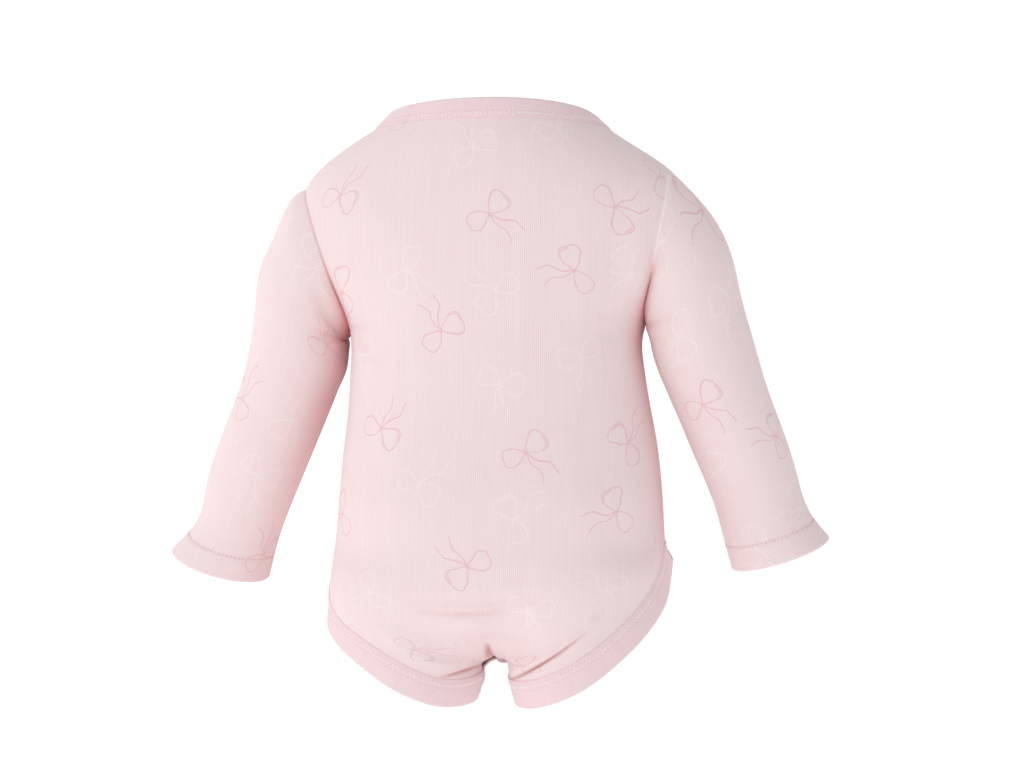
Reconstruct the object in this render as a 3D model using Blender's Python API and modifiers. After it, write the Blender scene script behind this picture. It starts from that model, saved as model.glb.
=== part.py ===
"""Long-sleeved baby bodysuit in its worn shape, with no wearer: hollow, and open at the neck, both cuffs and both legs.

Frame: X to the wearer's left, Y to the back, Z up. The origin is midway between the shoulders that carry it.
The tables are in millimetres. Each panel is an open surface worked out from them and thickened with Solidify.
"""

import math

import bpy
import numpy as np
from mathutils import Vector

NAME = "baby_bodysuit"
MM = 0.001

CLOTH = 1.2  # wall of the knit
HEM = 2.0  # wall of the turned hem at a cuff
RIB = 2.0  # wall of a folded rib binding
GAP = 0.3  # between pieces at a seam
SEAM = 0.4  # each panel's edge stands this far off the seam, so that the inner edges of the walls stay apart too

NECK_BAND = 10.8  # height of the neck binding
LEG_BAND = 14.4  # height of the leg bindings
HEM_DEPTH = 14.0  # height of the turned hem

# The torso as oval sections: half widths to the wearer's left and right, depths to the back and front, and how square the oval is.
TORSO_COLUMNS = ("z", "left", "right", "back", "front", "square")
TORSO = (
    (14, 64.0, 54.5, 41.0, 38.0, 2.00),
    (3, 82.0, 70.5, 45.5, 43.0, 1.95),
    (-8, 97.0, 87.5, 48.5, 47.0, 1.95),
    (-22, 107.5, 100.5, 51.0, 50.0, 2.05),
    (-38, 108.5, 102.5, 52.5, 52.0, 2.20),
    (-56, 104.5, 99.5, 53.0, 54.0, 2.25),
    (-74, 95.5, 91.5, 53.0, 56.5, 2.25),
    (-88, 86.0, 82.0, 53.0, 58.5, 2.25),
    (-98, 81.5, 77.5, 52.8, 59.5, 2.25),
    (-115, 81.0, 77.5, 52.8, 61.0, 2.25),
    (-135, 82.0, 80.5, 53.2, 62.0, 2.30),
    (-160, 84.5, 85.0, 55.5, 62.5, 2.35),
    (-190, 86.6, 87.8, 59.5, 61.0, 2.45),
    (-220, 88.0, 90.5, 62.0, 58.0, 2.50),
)

# Each armhole: height of its shoulder tip and of its underarm point, and how far it reaches to the back and front.
ARMHOLE = {"left": (-20.0, -98.0, 28.0, 29.0), "right": (-12.5, -92.0, 28.0, 29.0)}

# Height of the neck seam at the middle back, at the shoulders and at the middle front, and how far the binding leans in there, in degrees.
NECK_COLUMNS = ("z", "lean")
NECK = {"back": (14.8, 15.0), "side": (12.2, 48.0), "front": (-14.0, 30.0)}

HIP = -170.0  # the lowest level row, above both leg openings

# The seam round a leg opening, from the hip to the back, the crotch, the front and the hip again, and how far the binding leans in to the leg, in degrees. The more columns are what the left leg has over the mean, and the right one under it.
LEG_COLUMNS = ("x", "y", "z", "lean", "more_x", "more_z", "more_lean")
LEG = (
    (90.0, 0, -213.0, -3.0, 0.4, -1.5, 3.0),
    (89.0, 13, -227.2, -3.5, 0.8, -1.8, 3.5),
    (85.8, 25, -240.3, -1.5, 2.2, -2.6, 3.5),
    (77.0, 36, -251.7, 4.5, 1.7, -2.1, 3.5),
    (63.3, 44.5, -262.6, 7.5, 0.5, -0.7, 1.0),
    (48.0, 48.5, -272.5, 9.0, 0.0, 0.2, 0),
    (32.8, 46, -279.8, 10.5, 0.5, 0.4, -1.0),
    (20.4, 38, -283.5, 12.5, 1.6, 0.2, -2.5),
    (11.4, 25, -283.6, 13.0, 1.4, 0, -3.0),
    (7.9, 10, -281.6, 13.0, 0.5, 0, -3.0),
    (10.6, -6, -280.0, 12.0, 2.2, 0, -2.0),
    (13.8, -20, -275.0, 11.0, 1.7, 0, -1.0),
    (20.4, -32, -268.0, 10.0, 0.9, 0, 0),
    (31.0, -41, -258.0, 10.0, 0, 0, 0),
    (46.0, -47, -246.0, 9.0, 0, -0.5, 0),
    (62.0, -45, -233.0, 6.0, 0, -1.0, 0),
    (76.5, -34, -221.5, 2.0, 0.2, -1.5, 1.0),
    (86.5, -18, -213.5, -2.0, 0.4, -1.5, 2.0),
)

# Sections across each panel below the hip, from its middle line to the leg seam: the row of LEG where the section ends, its middle point, how far its middle runs out level, and the way it comes in to the seam.
FALL_COLUMNS = ("at", "mid_y", "mid_z", "level", "in_x", "in_y", "in_z")
BACK_FALL = (
    (0.0, 61.5, -214.0, 168, 6, -112, -3),
    (1.0, 62.0, -226.0, 162, 6, -92, -18),
    (2.0, 61.0, -237.0, 152, 22, -76, -28),
    (3.0, 58.5, -246.5, 136, 36, -54, -38),
    (4.0, 54.0, -254.0, 116, 44, -36, -48),
    (5.0, 47.0, -260.3, 92, 42, -20, -52),
    (6.0, 39.0, -265.3, 64, 32, -9, -48),
    (7.0, 29.5, -269.6, 38, 18, -2, -40),
    (8.0, 19.0, -273.0, 22, 7, 0, -30),
    (9.0, 7.0, -275.0, 17, 3, 0, -20),
    (10.0, -7.0, -274.8, 19, 4, 0, -14),
    (11.2, -22.0, -270.2, 26, 8, 0, -10),
)
FRONT_FALL = (
    (18.0, -59.6, -212.0, 168, 6, 106, -3),
    (17.0, -59.0, -221.5, 160, 10, 88, -3),
    (16.0, -57.2, -230.5, 145, 24, 64, -4),
    (15.0, -53.8, -239.0, 118, 38, 36, -8),
    (14.0, -48.5, -246.5, 88, 40, 10, -16),
    (13.0, -42.0, -255.0, 60, 30, 5, -24),
    (12.0, -33.5, -264.8, 38, 20, 2, -20),
    (11.0, -20.0, -273.6, 24, 10, 0, -14),
    (10.0, -5.0, -278.2, 18, 6, 0, -8),
)
LEVELS = (-130.0, -150.0, -170.0, -190.0)  # ovals that the sections below the hip follow on from
LAP = 3.0  # how far the front flap and the front ends of the leg bindings stand out over the back ones
LAP_ROWS = (11.9, 13.0)  # rows of LEG between which the lap builds up

# The largest folds of the panels: face (1 back, -1 front), where each starts and ends, how wide it is and how deep (a ridge where less than 0).
FOLD_COLUMNS = ("face", "x", "z", "to_x", "to_z", "width", "depth")
FOLDS = (
    (1, -57, -256, -19, -281, 4.5, 1.7),
    (1, -47, -249, -20, -272, 5.0, -1.3),
    (1, 38, -248, -42, -249, 6.0, 0.7),
    (1, 30, -279, 14, -279, 5.0, 1.2),
    (1, 80, -94, 58, -112, 6.0, 0.9),
    (1, -78, -88, -60, -106, 6.0, 0.9),
    (-1, 42, -243, 16, -262, 5.0, 1.2),
    (-1, -45, -240, -15, -263, 5.0, 1.4),
    (-1, 80, -92, 56, -114, 6.0, 0.9),
    (-1, -78, -86, -56, -108, 6.0, 0.9),
)

# Each sleeve as tilted ovals: its outer and its inner point, the depth of its middle, half its depth, and how much lower its back is.
SLEEVE_COLUMNS = ("out_x", "out_z", "in_x", "in_z", "y", "depth", "drop")
SLEEVE = {
    "left": (
        (114.3, -24.3, 84.0, -101.5, 0, 29.5, 0),
        (124.6, -44.2, 84.2, -104.8, 0, 29.5, 0),
        (132.3, -62.1, 84.4, -109.8, 0, 29.0, 0),
        (136.0, -86.4, 85.7, -118.4, -1, 28.0, 1),
        (141.0, -113.4, 91.1, -130.7, -3, 27.0, 2),
        (149.9, -137.7, 100.8, -151.7, -7, 26.0, 3),
        (159.9, -159.3, 111.0, -173.1, -12, 25.5, 4),
        (168.7, -183.6, 122.2, -196.6, -18, 24.5, 5),
        (173.0, -198.2, 128.2, -210.6, -21, 24.0, 5),
        (189.4, -217.0, 135.4, -233.7, -25, 27.5, 5),
    ),
    "right": (
        (105.0, -24.3, 79.6, -94.5, 0, 29.5, 0),
        (117.6, -40.5, 80.0, -97.7, 0, 29.5, 0),
        (125.3, -57.8, 81.6, -102.6, 0, 29.0, 0),
        (130.0, -78.3, 83.6, -111.8, -1, 28.0, 1),
        (135.4, -98.8, 87.8, -124.2, -3, 27.0, 2),
        (143.2, -126.9, 96.1, -143.8, -7, 26.0, 3),
        (150.6, -148.5, 104.4, -165.1, -12, 25.5, 4),
        (158.3, -173.9, 114.0, -189.8, -18, 24.5, 5),
        (163.8, -192.8, 118.1, -205.2, -21, 24.0, 5),
        (175.1, -209.0, 122.9, -224.6, -25, 27.5, 5),
    ),
}

# The press studs' caps, one on the front flap and one on the front end of each leg binding.
SNAP_RADIUS, SNAP_HEIGHT, SNAP_BACK = 3.9, 1.3, 7.0  # SNAP_BACK: how far each sits back from the end
SNAP_PROFILE = ((0.0, 1.0), (0.55, 0.97), (0.86, 0.86), (1.0, 0.52), (1.0, 0.0), (0.0, 0.0))  # shares of the radius and the height, from the dome's middle down

# Mesh steps. The sleeve's ring shares its points with the armhole, and the leg bindings share theirs with the panels.
SHOULDER_STEPS, ARMHOLE_STEPS, SIDE_STEPS, HIP_STEPS, LEG_STEPS = 3, 9, 4, 3, 14
HALF_COLUMNS = (0.0, 0.08, 0.17, 0.27, 0.37, 0.47, 0.57, 0.67, 0.77, 0.86, 0.93, 1.0)
SLEEVE_STEPS = 12
NECK_ROUND = 36


def column(table, names, name):
    return np.array([row[names.index(name)] for row in table], float)


def spline(xs, ys, x):
    """Natural cubic spline through the rows (xs, ys), read at x."""
    xs, ys = np.asarray(xs, float), np.asarray(ys, float)
    if xs[0] > xs[-1]:
        xs, ys = xs[::-1], ys[::-1]
    n, h = len(xs), np.diff(xs)
    rise = np.diff(ys, axis=0) / h.reshape((-1,) + (1,) * (ys.ndim - 1))
    bend, right = np.eye(n), np.zeros_like(ys)
    for i in range(1, n - 1):
        bend[i, i - 1 : i + 2] = h[i - 1], 2 * (h[i - 1] + h[i]), h[i]
        right[i] = 6 * (rise[i] - rise[i - 1])
    m = np.linalg.solve(bend, right.reshape(n, -1)).reshape(ys.shape)
    x = np.asarray(x, float)
    i = np.clip(np.searchsorted(xs, x) - 1, 0, n - 2)
    shape = x.shape + (1,) * (ys.ndim - 1)
    step, a, b = h[i].reshape(shape), (xs[i + 1] - x).reshape(shape), (x - xs[i]).reshape(shape)
    return (
        (m[i] * a**3 + m[i + 1] * b**3) / (6 * step)
        + (ys[i] / step - m[i] * step / 6) * a
        + (ys[i + 1] / step - m[i + 1] * step / 6) * b
    )


def eased(x):
    x = np.clip(x, 0.0, 1.0)
    return x * x * (3 - 2 * x)


def torso(name, z):
    return spline(column(TORSO, TORSO_COLUMNS, "z"), column(TORSO, TORSO_COLUMNS, name), z)


def oval(z, t, side, face):
    """Points of the torso's surface at heights z. t is 0 at the middle of the face (1 back, -1 front) and 1 at the side (1 left, -1 right)."""
    z, angle = np.asarray(z, float), np.asarray(t, float) * math.pi / 2
    power = 2 / torso("square", z)
    x = side * torso("left" if side > 0 else "right", z) * np.abs(np.sin(angle)) ** power
    y = face * torso("back" if face > 0 else "front", z) * np.abs(np.cos(angle)) ** power
    return np.stack(np.broadcast_arrays(x, y, z), axis=-1)


def share_at(z, y, face):
    """The t of the oval at height z whose depth is y."""
    depth = torso("back" if face > 0 else "front", z)
    return math.acos(min(1.0, max(0.0, y / depth)) ** (torso("square", z) / 2)) / (math.pi / 2)


def armhole(side, angle):
    """The armhole seam. angle runs from the shoulder tip, by the back and the underarm, to the front."""
    tip, under, back, front = ARMHOLE["left" if side > 0 else "right"]
    z = (tip + under) / 2 + (tip - under) / 2 * np.cos(angle)
    reach = np.abs(np.sin(angle)) ** 0.85
    face = 1 if math.sin(angle) >= 0 else -1
    y = reach * (back if face > 0 else front)
    return oval(z, share_at(z, y, face), side, face), y


def leg_seam(at, side, face):
    """The leg seam at a row number of LEG, with the lap of the front ends."""
    rows = np.array(LEG, float)
    rows = rows[:, :4] + side * rows[:, 4:] @ np.array(((1, 0, 0, 0), (0, 0, 1, 0), (0, 0, 0, 1)), float)
    wrapped = np.concatenate([rows[-3:], rows, rows[:4]])
    point = spline(np.arange(-3, len(rows) + 4), wrapped, at)
    if face < 0:
        lap = LAP * (1 - eased((at - LAP_ROWS[0]) / (LAP_ROWS[1] - LAP_ROWS[0])))
        point[0] -= lap
        point[2] -= 0.6 * lap
    point[0] *= side
    return point[:3], point[3]


def neck_height(t, face):
    """Height of the neck seam at t of the oval."""
    side, mid = NECK["side"][0], NECK["back" if face > 0 else "front"][0]
    return side + (mid - side) * np.cos(t * math.pi / 2) ** 1.5


def even_along(curve, shares):
    """Points at the given shares of a polyline's length."""
    steps = np.linalg.norm(np.diff(curve, axis=0), axis=1)
    along = np.concatenate([[0], np.cumsum(steps)]) / steps.sum()
    return np.stack([np.interp(shares, along, curve[:, k]) for k in range(3)], axis=-1)


def upper_row(v, side, face, shares):
    """Half a panel's row from its middle to its edge: the shoulder seam for v from 0 to 1, the armhole to 2, the side seam to 3."""
    tip, under = ARMHOLE["left" if side > 0 else "right"][:2]
    middle = spline((0, 1, 2, 3), (neck_height(0.0, face), -30.0 if face < 0 else -19.0, -96.0, HIP), v)
    if v <= 1:
        top = NECK["side"][0]
        edge_z, edge_y = top + (tip - top) * v, SEAM
    elif v < 2:
        point, edge_y = armhole(side, math.pi * (v - 1) * face)
        edge_z, edge_y = point[2], max(edge_y, SEAM)
    else:
        edge_z, edge_y = under + (HIP - under) * (v - 2), SEAM
    if v < 1:
        dense = np.linspace(0, 1, 160)
        last = share_at(edge_z, edge_y, face)
        neck = neck_height(dense * last, face)
        flat = middle + (edge_z - middle) * eased(dense)
        part = (flat - neck_height(0.0, face)) * 0 + v
        z = neck * (1 - part) + flat * part
        z += (edge_z - z[-1]) * dense**4 + (middle - z[0]) * (1 - dense) ** 4
        curve = oval(z, dense * last, side, face)
    else:
        dense = np.linspace(0, 1, 160)
        z = middle + (edge_z - middle) * eased(dense)
        curve = oval(z, dense * share_at(edge_z, edge_y, face), side, face)
    return even_along(curve, shares)


def fall_row(side, face, row, shares):
    """Half a section below the hip: one curve from the panel's middle line to the leg seam."""
    at, mid_y, mid_z, level, in_x, in_y, in_z = row
    start, out = np.array((0.0, mid_y, mid_z)), np.array((side * level, 0.0, 0.0))
    end, into = leg_seam(at, side, face)[0], np.array((side * in_x, in_y, in_z), float)
    if at in (0.0, float(len(LEG))):
        end[1] += face * SEAM
    v = np.linspace(0, 1, 120)[:, None]
    curve = (
        (2 * v**3 - 3 * v**2 + 1) * start
        + (v**3 - 2 * v**2 + v) * out
        + (3 * v**2 - 2 * v**3) * end
        + (v**3 - v**2) * into
    )
    return even_along(curve, shares)


def lower_rows(side, face, shares, steps):
    """Half a panel lofted through its sections, from the hip (step 0) by the top of the leg opening (1) to the flap's end (2). Also the row of LEG that each step ends at."""
    under = ARMHOLE["left" if side > 0 else "right"][1]
    table = BACK_FALL if face > 0 else FRONT_FALL
    rows = [upper_row(2 + (z - under) / (HIP - under), side, face, shares) for z in LEVELS]
    rows = np.array(rows + [fall_row(side, face, row, shares) for row in table])
    apart = np.linalg.norm(np.diff(rows, axis=0), axis=2).mean(axis=1)
    along = np.concatenate([[0], np.cumsum(apart)])
    hip, top = along[LEVELS.index(HIP)], along[len(LEVELS)]
    places = np.interp(steps, (0, 1, 2), (hip, top, along[-1]))
    grid = spline(along, rows, places)
    # Above the leg opening the edge is the side seam, which both panels share, and the cloth beside it goes along.
    before = places <= top
    hip_edge, top_edge = rows[LEVELS.index(HIP), -1], rows[len(LEVELS), -1]
    k = ((places[before] - hip) / (top - hip))[:, None]
    change = hip_edge + (top_edge - hip_edge) * k - grid[before, -1]
    grid[before] += change[:, None] * (np.asarray(shares, float) ** 8)[:, None]
    ats = np.interp(places, along[len(LEVELS) :], [row[0] for row in table])
    return grid, ats


def normals(grid, outward, closed=False):
    """Unit normals of a grid of points. outward is a direction that one at the grid's middle faces, or the first one of a closed grid."""
    wide = np.concatenate([grid[:, -1:], grid, grid[:, :1]], axis=1) if closed else grid
    facing = np.cross(np.gradient(wide, axis=1), np.gradient(wide, axis=0))
    facing = facing[:, 1:-1] if closed else facing
    facing /= np.linalg.norm(facing, axis=2)[:, :, None]
    middle = facing[len(grid) // 2, 0 if closed else grid.shape[1] // 2]
    return facing * (1 if np.dot(middle, outward) > 0 else -1)


def folded(grid, face):
    """A panel's grid with its folds pressed in or raised along its normals."""
    facing, depth = normals(grid, (0, face, 0)), np.zeros(grid.shape[:2])
    for fold_face, x, z, to_x, to_z, width, deep in FOLDS:
        if fold_face != face:
            continue
        way = np.array((to_x - x, to_z - z))
        length = np.linalg.norm(way)
        away = grid[:, :, (0, 2)] - (x, z)
        along = (away @ way) / length
        across = (away @ (way[::-1] * (-1, 1))) / length
        past = np.maximum(0, np.maximum(-along, along - length))
        depth += deep * np.exp(-((across / width) ** 2) - (past / (1.6 * width)) ** 2)
    depth[:, 0] = depth[:, -1] = 0
    return grid - facing * depth[:, :, None]


def panel_points(face, upper, shares, lower):
    """A panel's grid, rows from the neck to the crotch, columns from the wearer's right to left."""
    halves = []
    for side in (-1, 1):
        top = np.array([upper_row(v, side, face, shares) for v in upper])
        low = lower_rows(side, face, shares, lower)[0]
        halves.append(np.concatenate([top, low]))
    right, left = halves
    return folded(np.concatenate([right[:, :0:-1], left], axis=1), face)


def sleeve_points(side, steps, around):
    """A sleeve's grid, rings from the armhole to the cuff's edge. Also the distance of each ring along the sleeve."""
    angles = np.arange(around) / around * 2 * math.pi
    rings = [np.array([armhole(side, a)[0] for a in angles])]
    for ox, oz, ix, iz, y, depth, drop in SLEEVE["left" if side > 0 else "right"]:
        middle = np.array((side * (ox + ix) / 2, y, (oz + iz) / 2))
        reach = np.array((side * (ox - ix) / 2, 0.0, (oz - iz) / 2))
        back = np.array((0.0, depth, -drop))
        rings.append(middle + np.outer(np.cos(angles), reach) + np.outer(np.sin(angles), back))
    rings = np.array(rings)
    apart = np.linalg.norm(np.diff(rings, axis=0), axis=2).mean(axis=1)
    along = np.concatenate([[0], np.cumsum(apart)])
    places = along[-1] * np.asarray(steps, float)
    grid = spline(along, rings, places)
    toward = grid[1] - grid[0]
    grid[0] += toward / np.linalg.norm(toward, axis=1)[:, None] * (GAP + 0.8)
    return grid, along[-1] - places


def neck_points(around, steps):
    """The neck binding's grid, rings from the seam to the folded edge."""
    seam, leans = [], []
    for k in range(around):
        angle = k / around * 2 * math.pi
        face, side = (1 if math.cos(angle) >= 0 else -1), (1 if math.sin(angle) >= 0 else -1)
        t = math.asin(min(1.0, abs(math.sin(angle)))) / (math.pi / 2)
        seam.append(oval(neck_height(t, face), t, side, face))
        share = abs(math.cos(angle)) ** 1.5
        mid = NECK["back" if face > 0 else "front"][1]
        leans.append(math.radians(NECK["side"][1] + (mid - NECK["side"][1]) * share))
    seam, leans = np.array(seam), np.array(leans)
    run = np.roll(seam, -1, axis=0) - np.roll(seam, 1, axis=0)
    inward = np.stack([-run[:, 1], run[:, 0], 0 * run[:, 0]], axis=1)
    inward /= np.linalg.norm(inward, axis=1)[:, None]
    inward *= -np.sign((inward * seam).sum(axis=1))[:, None]
    way = inward * np.sin(leans)[:, None] + np.outer(np.cos(leans), (0, 0, 1))
    rows = [seam + way * h for h in np.linspace(GAP + 0.5, NECK_BAND, steps + 1)]
    return np.array(rows)


def leg_points(side, shares, steps, rows):
    """A leg binding's grid, from its back end over the hip to its front end, rings from the seam to the folded edge. Its points start from the panels' own."""
    back, back_at = lower_rows(side, 1, shares, steps[::-1])
    front, front_at = lower_rows(side, -1, shares, steps[1:])
    seam = np.concatenate([back[:, -1], front[:, -1]])
    seam[len(back) - 1, 1] = 0.0
    ats = np.concatenate([back_at, front_at])
    leans = np.radians([leg_seam(at, side, 1)[1] for at in ats])
    run = np.gradient(seam, axis=0)
    run /= np.linalg.norm(run, axis=1)[:, None]
    inward = np.cross(run, (0.0, 0.0, 1.0))
    inward /= np.linalg.norm(inward, axis=1)[:, None]
    middle = np.array((side * 48.0, 0.0, 0.0))
    inward *= np.sign((inward * (middle - seam * (1, 1, 0))).sum(axis=1).mean())
    way = inward * np.sin(leans)[:, None] - np.outer(np.cos(leans), (0, 0, 1))
    way -= run * (way * run).sum(axis=1)[:, None]
    way /= np.linalg.norm(way, axis=1)[:, None]
    return np.array([seam + way * h for h in np.linspace(GAP + 0.7, LEG_BAND, rows)])


def snap_seats():
    """Where each cap sits: a point of the cloth and its outward normal."""
    seats = []
    for side in (-1, 1):
        grid = leg_points(side, HALF_COLUMNS, np.linspace(1, 2, 60), 9)
        run = np.linalg.norm(np.diff(grid[4], axis=0), axis=1)[::-1]
        back = -2 - int(np.searchsorted(np.cumsum(run), SNAP_BACK))
        end = normals(grid, (-side, 0, 0))[4, back]
        seats.append((grid[4, back], end * (-1 if end[0] * side > 0 else 1)))
    right, left = (lower_rows(s, -1, (0.0, 0.25, 1.0), (1.9, 1.94))[0] for s in (-1, 1))
    facing = np.cross(left[0, 1] - right[0, 1], left[1, 0] - left[0, 0])
    facing *= (-1 if facing[2] > 0 else 1) / np.linalg.norm(facing)
    seats.insert(1, ((left[0, 0] + left[1, 0]) / 2, facing))
    return seats


def collection(name):
    found = bpy.data.collections.new(name)
    bpy.context.scene.collection.children.link(found)
    return found


def material(name, colour, roughness, metallic=0.0):
    made = bpy.data.materials.new(name)
    made.use_nodes = True
    shader = made.node_tree.nodes["Principled BSDF"]
    shader.inputs["Base Color"].default_value = (*colour, 1.0)
    shader.inputs["Roughness"].default_value = roughness
    shader.inputs["Metallic"].default_value = metallic
    return made


def placed(name, mesh, group, colour, roughness=0.85):
    mesh.materials.append(material(name, colour, roughness))
    made = bpy.data.objects.new(name, mesh)
    group.objects.link(made)
    return made


def cloth(name, grid, outward, thick, closed, group, colour):
    """A piece of cloth: an open surface lofted through a grid of points, with its wall behind it. outward is a direction that it faces, as in normals. thick is the wall's thickness, one number or one for each row."""
    rows, cols = grid.shape[:2]
    seen = np.cross(grid[0, 1] - grid[0, 0], grid[1, 0] - grid[0, 0])
    turned = np.dot(seen, normals(grid, outward, closed)[0, 0]) < 0
    faces = []
    for i in range(rows - 1):
        for j in range(cols if closed else cols - 1):
            k = (j + 1) % cols
            face = (i * cols + j, i * cols + k, (i + 1) * cols + k, (i + 1) * cols + j)
            faces.append(face[::-1] if turned else face)
    mesh = bpy.data.meshes.new(name)
    mesh.from_pydata([tuple(p) for p in grid.reshape(-1, 3) * MM], [], faces)
    mesh.shade_smooth()
    made = placed(name, mesh, group, colour)
    thick = np.broadcast_to(thick, (rows,))
    shell = made.modifiers.new("wall", "SOLIDIFY")
    shell.thickness = float(thick.max()) * MM
    shell.offset = -1.0
    shell.use_even_offset = True
    if np.ptp(thick) > 0:
        share = made.vertex_groups.new(name="wall")
        for i in range(rows):
            share.add(list(range(i * cols, (i + 1) * cols)), float(thick[i] / thick.max()), "REPLACE")
        shell.vertex_group = "wall"
    return made


def snap_cap(name, base, facing, group):
    """A press stud's cap, a turned shape just clear of a point of the cloth."""
    mesh = bpy.data.meshes.new(name)
    points = [(SNAP_RADIUS * radius * MM, 0.0, SNAP_HEIGHT * height * MM) for radius, height in SNAP_PROFILE]
    mesh.from_pydata(points, [(i, i + 1) for i in range(len(points) - 1)], [])
    made = placed(name, mesh, group, (0.86, 0.72, 0.73), 0.35)
    turn = made.modifiers.new("turn", "SCREW")
    turn.axis = "Z"
    turn.steps = turn.render_steps = 16
    turn.use_merge_vertices = True
    turn.merge_threshold = 0.00005
    turn.use_smooth_shade = True
    made.location = Vector(base + facing * (GAP + 0.15)) * MM
    made.rotation_euler = Vector(facing).to_track_quat("Z", "Y").to_euler()
    return made


def main():
    for old in list(bpy.data.objects):
        bpy.data.objects.remove(old, do_unlink=True)
    group = collection(NAME)
    root = bpy.data.objects.new("wearer_shoulders", None)
    group.objects.link(root)

    upper = [i / SHOULDER_STEPS for i in range(SHOULDER_STEPS)]
    upper += [1 + i / ARMHOLE_STEPS for i in range(ARMHOLE_STEPS)]
    upper += [2 + i / SIDE_STEPS for i in range(SIDE_STEPS)]
    legs = np.linspace(1, 2, LEG_STEPS + 1)
    lower = np.concatenate([np.linspace(0, 1, HIP_STEPS + 1)[:-1], legs])

    made = []
    cotton, rib = (0.87, 0.68, 0.68), (0.84, 0.62, 0.64)
    for name, face in (("back_panel", 1), ("front_panel", -1)):
        grid = panel_points(face, upper, HALF_COLUMNS, lower)
        made.append(cloth(name, grid, (0, face, 0), CLOTH, False, group, cotton))

    around = 2 * ARMHOLE_STEPS
    for name, side in (("left", 1), ("right", -1)):
        length = sleeve_points(side, [0.0, 1.0], around)[1][0]
        hem = 1 - HEM_DEPTH / length
        steps = list(hem * np.linspace(0, 1, SLEEVE_STEPS - 1)[:-1] ** 1.1) + [hem - 0.4 / length, hem, (1 + hem) / 2, 1.0]
        grid, above = sleeve_points(side, steps, around)
        thick = np.where(above <= HEM_DEPTH * 1.001, HEM, CLOTH)
        made.append(cloth(f"sleeve_{name}", grid, (side, 0, 0), thick, True, group, cotton))

    made.append(cloth("neck_binding", neck_points(NECK_ROUND, 2), (0, 1, 0), RIB, True, group, rib))
    for name, side in (("left", 1), ("right", -1)):
        grid = leg_points(side, HALF_COLUMNS, legs, 3)
        made.append(cloth(f"leg_binding_{name}", grid, (side, 0, 0), RIB, False, group, rib))

    for number, (base, facing) in enumerate(snap_seats(), 1):
        made.append(snap_cap(f"snap_{number}", base, facing, group))

    for piece in made:
        piece.parent = root


main()
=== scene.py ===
"""Looks of the long-sleeved baby bodysuit: fine shells of knit on the solids' own form, folded bindings, turned cuffs, stitches, snaps and the ribbon-bow print."""

import math

import bpy
import numpy as np
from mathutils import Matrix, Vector
from mathutils.kdtree import KDTree


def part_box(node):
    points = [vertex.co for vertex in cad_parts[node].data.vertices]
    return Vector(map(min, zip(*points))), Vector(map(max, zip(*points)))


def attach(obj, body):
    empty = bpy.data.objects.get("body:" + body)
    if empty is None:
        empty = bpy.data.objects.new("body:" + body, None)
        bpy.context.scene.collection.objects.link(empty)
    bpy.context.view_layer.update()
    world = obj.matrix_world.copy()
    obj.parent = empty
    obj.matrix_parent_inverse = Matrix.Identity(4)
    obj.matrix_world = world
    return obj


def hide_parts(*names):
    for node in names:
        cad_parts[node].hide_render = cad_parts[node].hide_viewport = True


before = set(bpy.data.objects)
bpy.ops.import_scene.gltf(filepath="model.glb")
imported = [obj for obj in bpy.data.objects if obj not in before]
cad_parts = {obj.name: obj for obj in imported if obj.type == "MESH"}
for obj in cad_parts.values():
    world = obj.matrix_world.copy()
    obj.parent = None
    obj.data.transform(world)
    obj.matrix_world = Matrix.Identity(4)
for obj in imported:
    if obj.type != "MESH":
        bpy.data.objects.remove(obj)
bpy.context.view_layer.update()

MM = 0.001

# ---------------------------------------------------------------------------
# The garment's form: the construction's own tables and functions, in millimetres.
# X to the wearer's left, Y to the back, Z up, the origin midway between the shoulders.
# ---------------------------------------------------------------------------

CLOTH = 1.2
HEM = 2.0
RIB = 2.0
SEAM = 0.05  # the shells meet at their seams

NECK_BAND = 10.8
LEG_BAND = 14.4
HEM_DEPTH = 14.0

TORSO_COLUMNS = ("z", "left", "right", "back", "front", "square")
TORSO = (
    (14, 64.0, 54.5, 41.0, 38.0, 2.00),
    (3, 82.0, 70.5, 45.5, 43.0, 1.95),
    (-8, 97.0, 87.5, 48.5, 47.0, 1.95),
    (-22, 107.5, 100.5, 51.0, 50.0, 2.05),
    (-38, 108.5, 102.5, 52.5, 52.0, 2.20),
    (-56, 104.5, 99.5, 53.0, 54.0, 2.25),
    (-74, 95.5, 91.5, 53.0, 56.5, 2.25),
    (-88, 86.0, 82.0, 53.0, 58.5, 2.25),
    (-98, 81.5, 77.5, 52.8, 59.5, 2.25),
    (-115, 81.0, 77.5, 52.8, 61.0, 2.25),
    (-135, 82.0, 80.5, 53.2, 62.0, 2.30),
    (-160, 84.5, 85.0, 55.5, 62.5, 2.35),
    (-190, 86.6, 87.8, 59.5, 61.0, 2.45),
    (-220, 88.0, 90.5, 62.0, 58.0, 2.50),
)
ARMHOLE = {"left": (-20.0, -98.0, 28.0, 29.0), "right": (-12.5, -92.0, 28.0, 29.0)}
NECK = {"back": (14.8, 15.0), "side": (12.2, 48.0), "front": (-14.0, 30.0)}
HIP = -170.0
LEG_COLUMNS = ("x", "y", "z", "lean", "more_x", "more_z", "more_lean")
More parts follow.
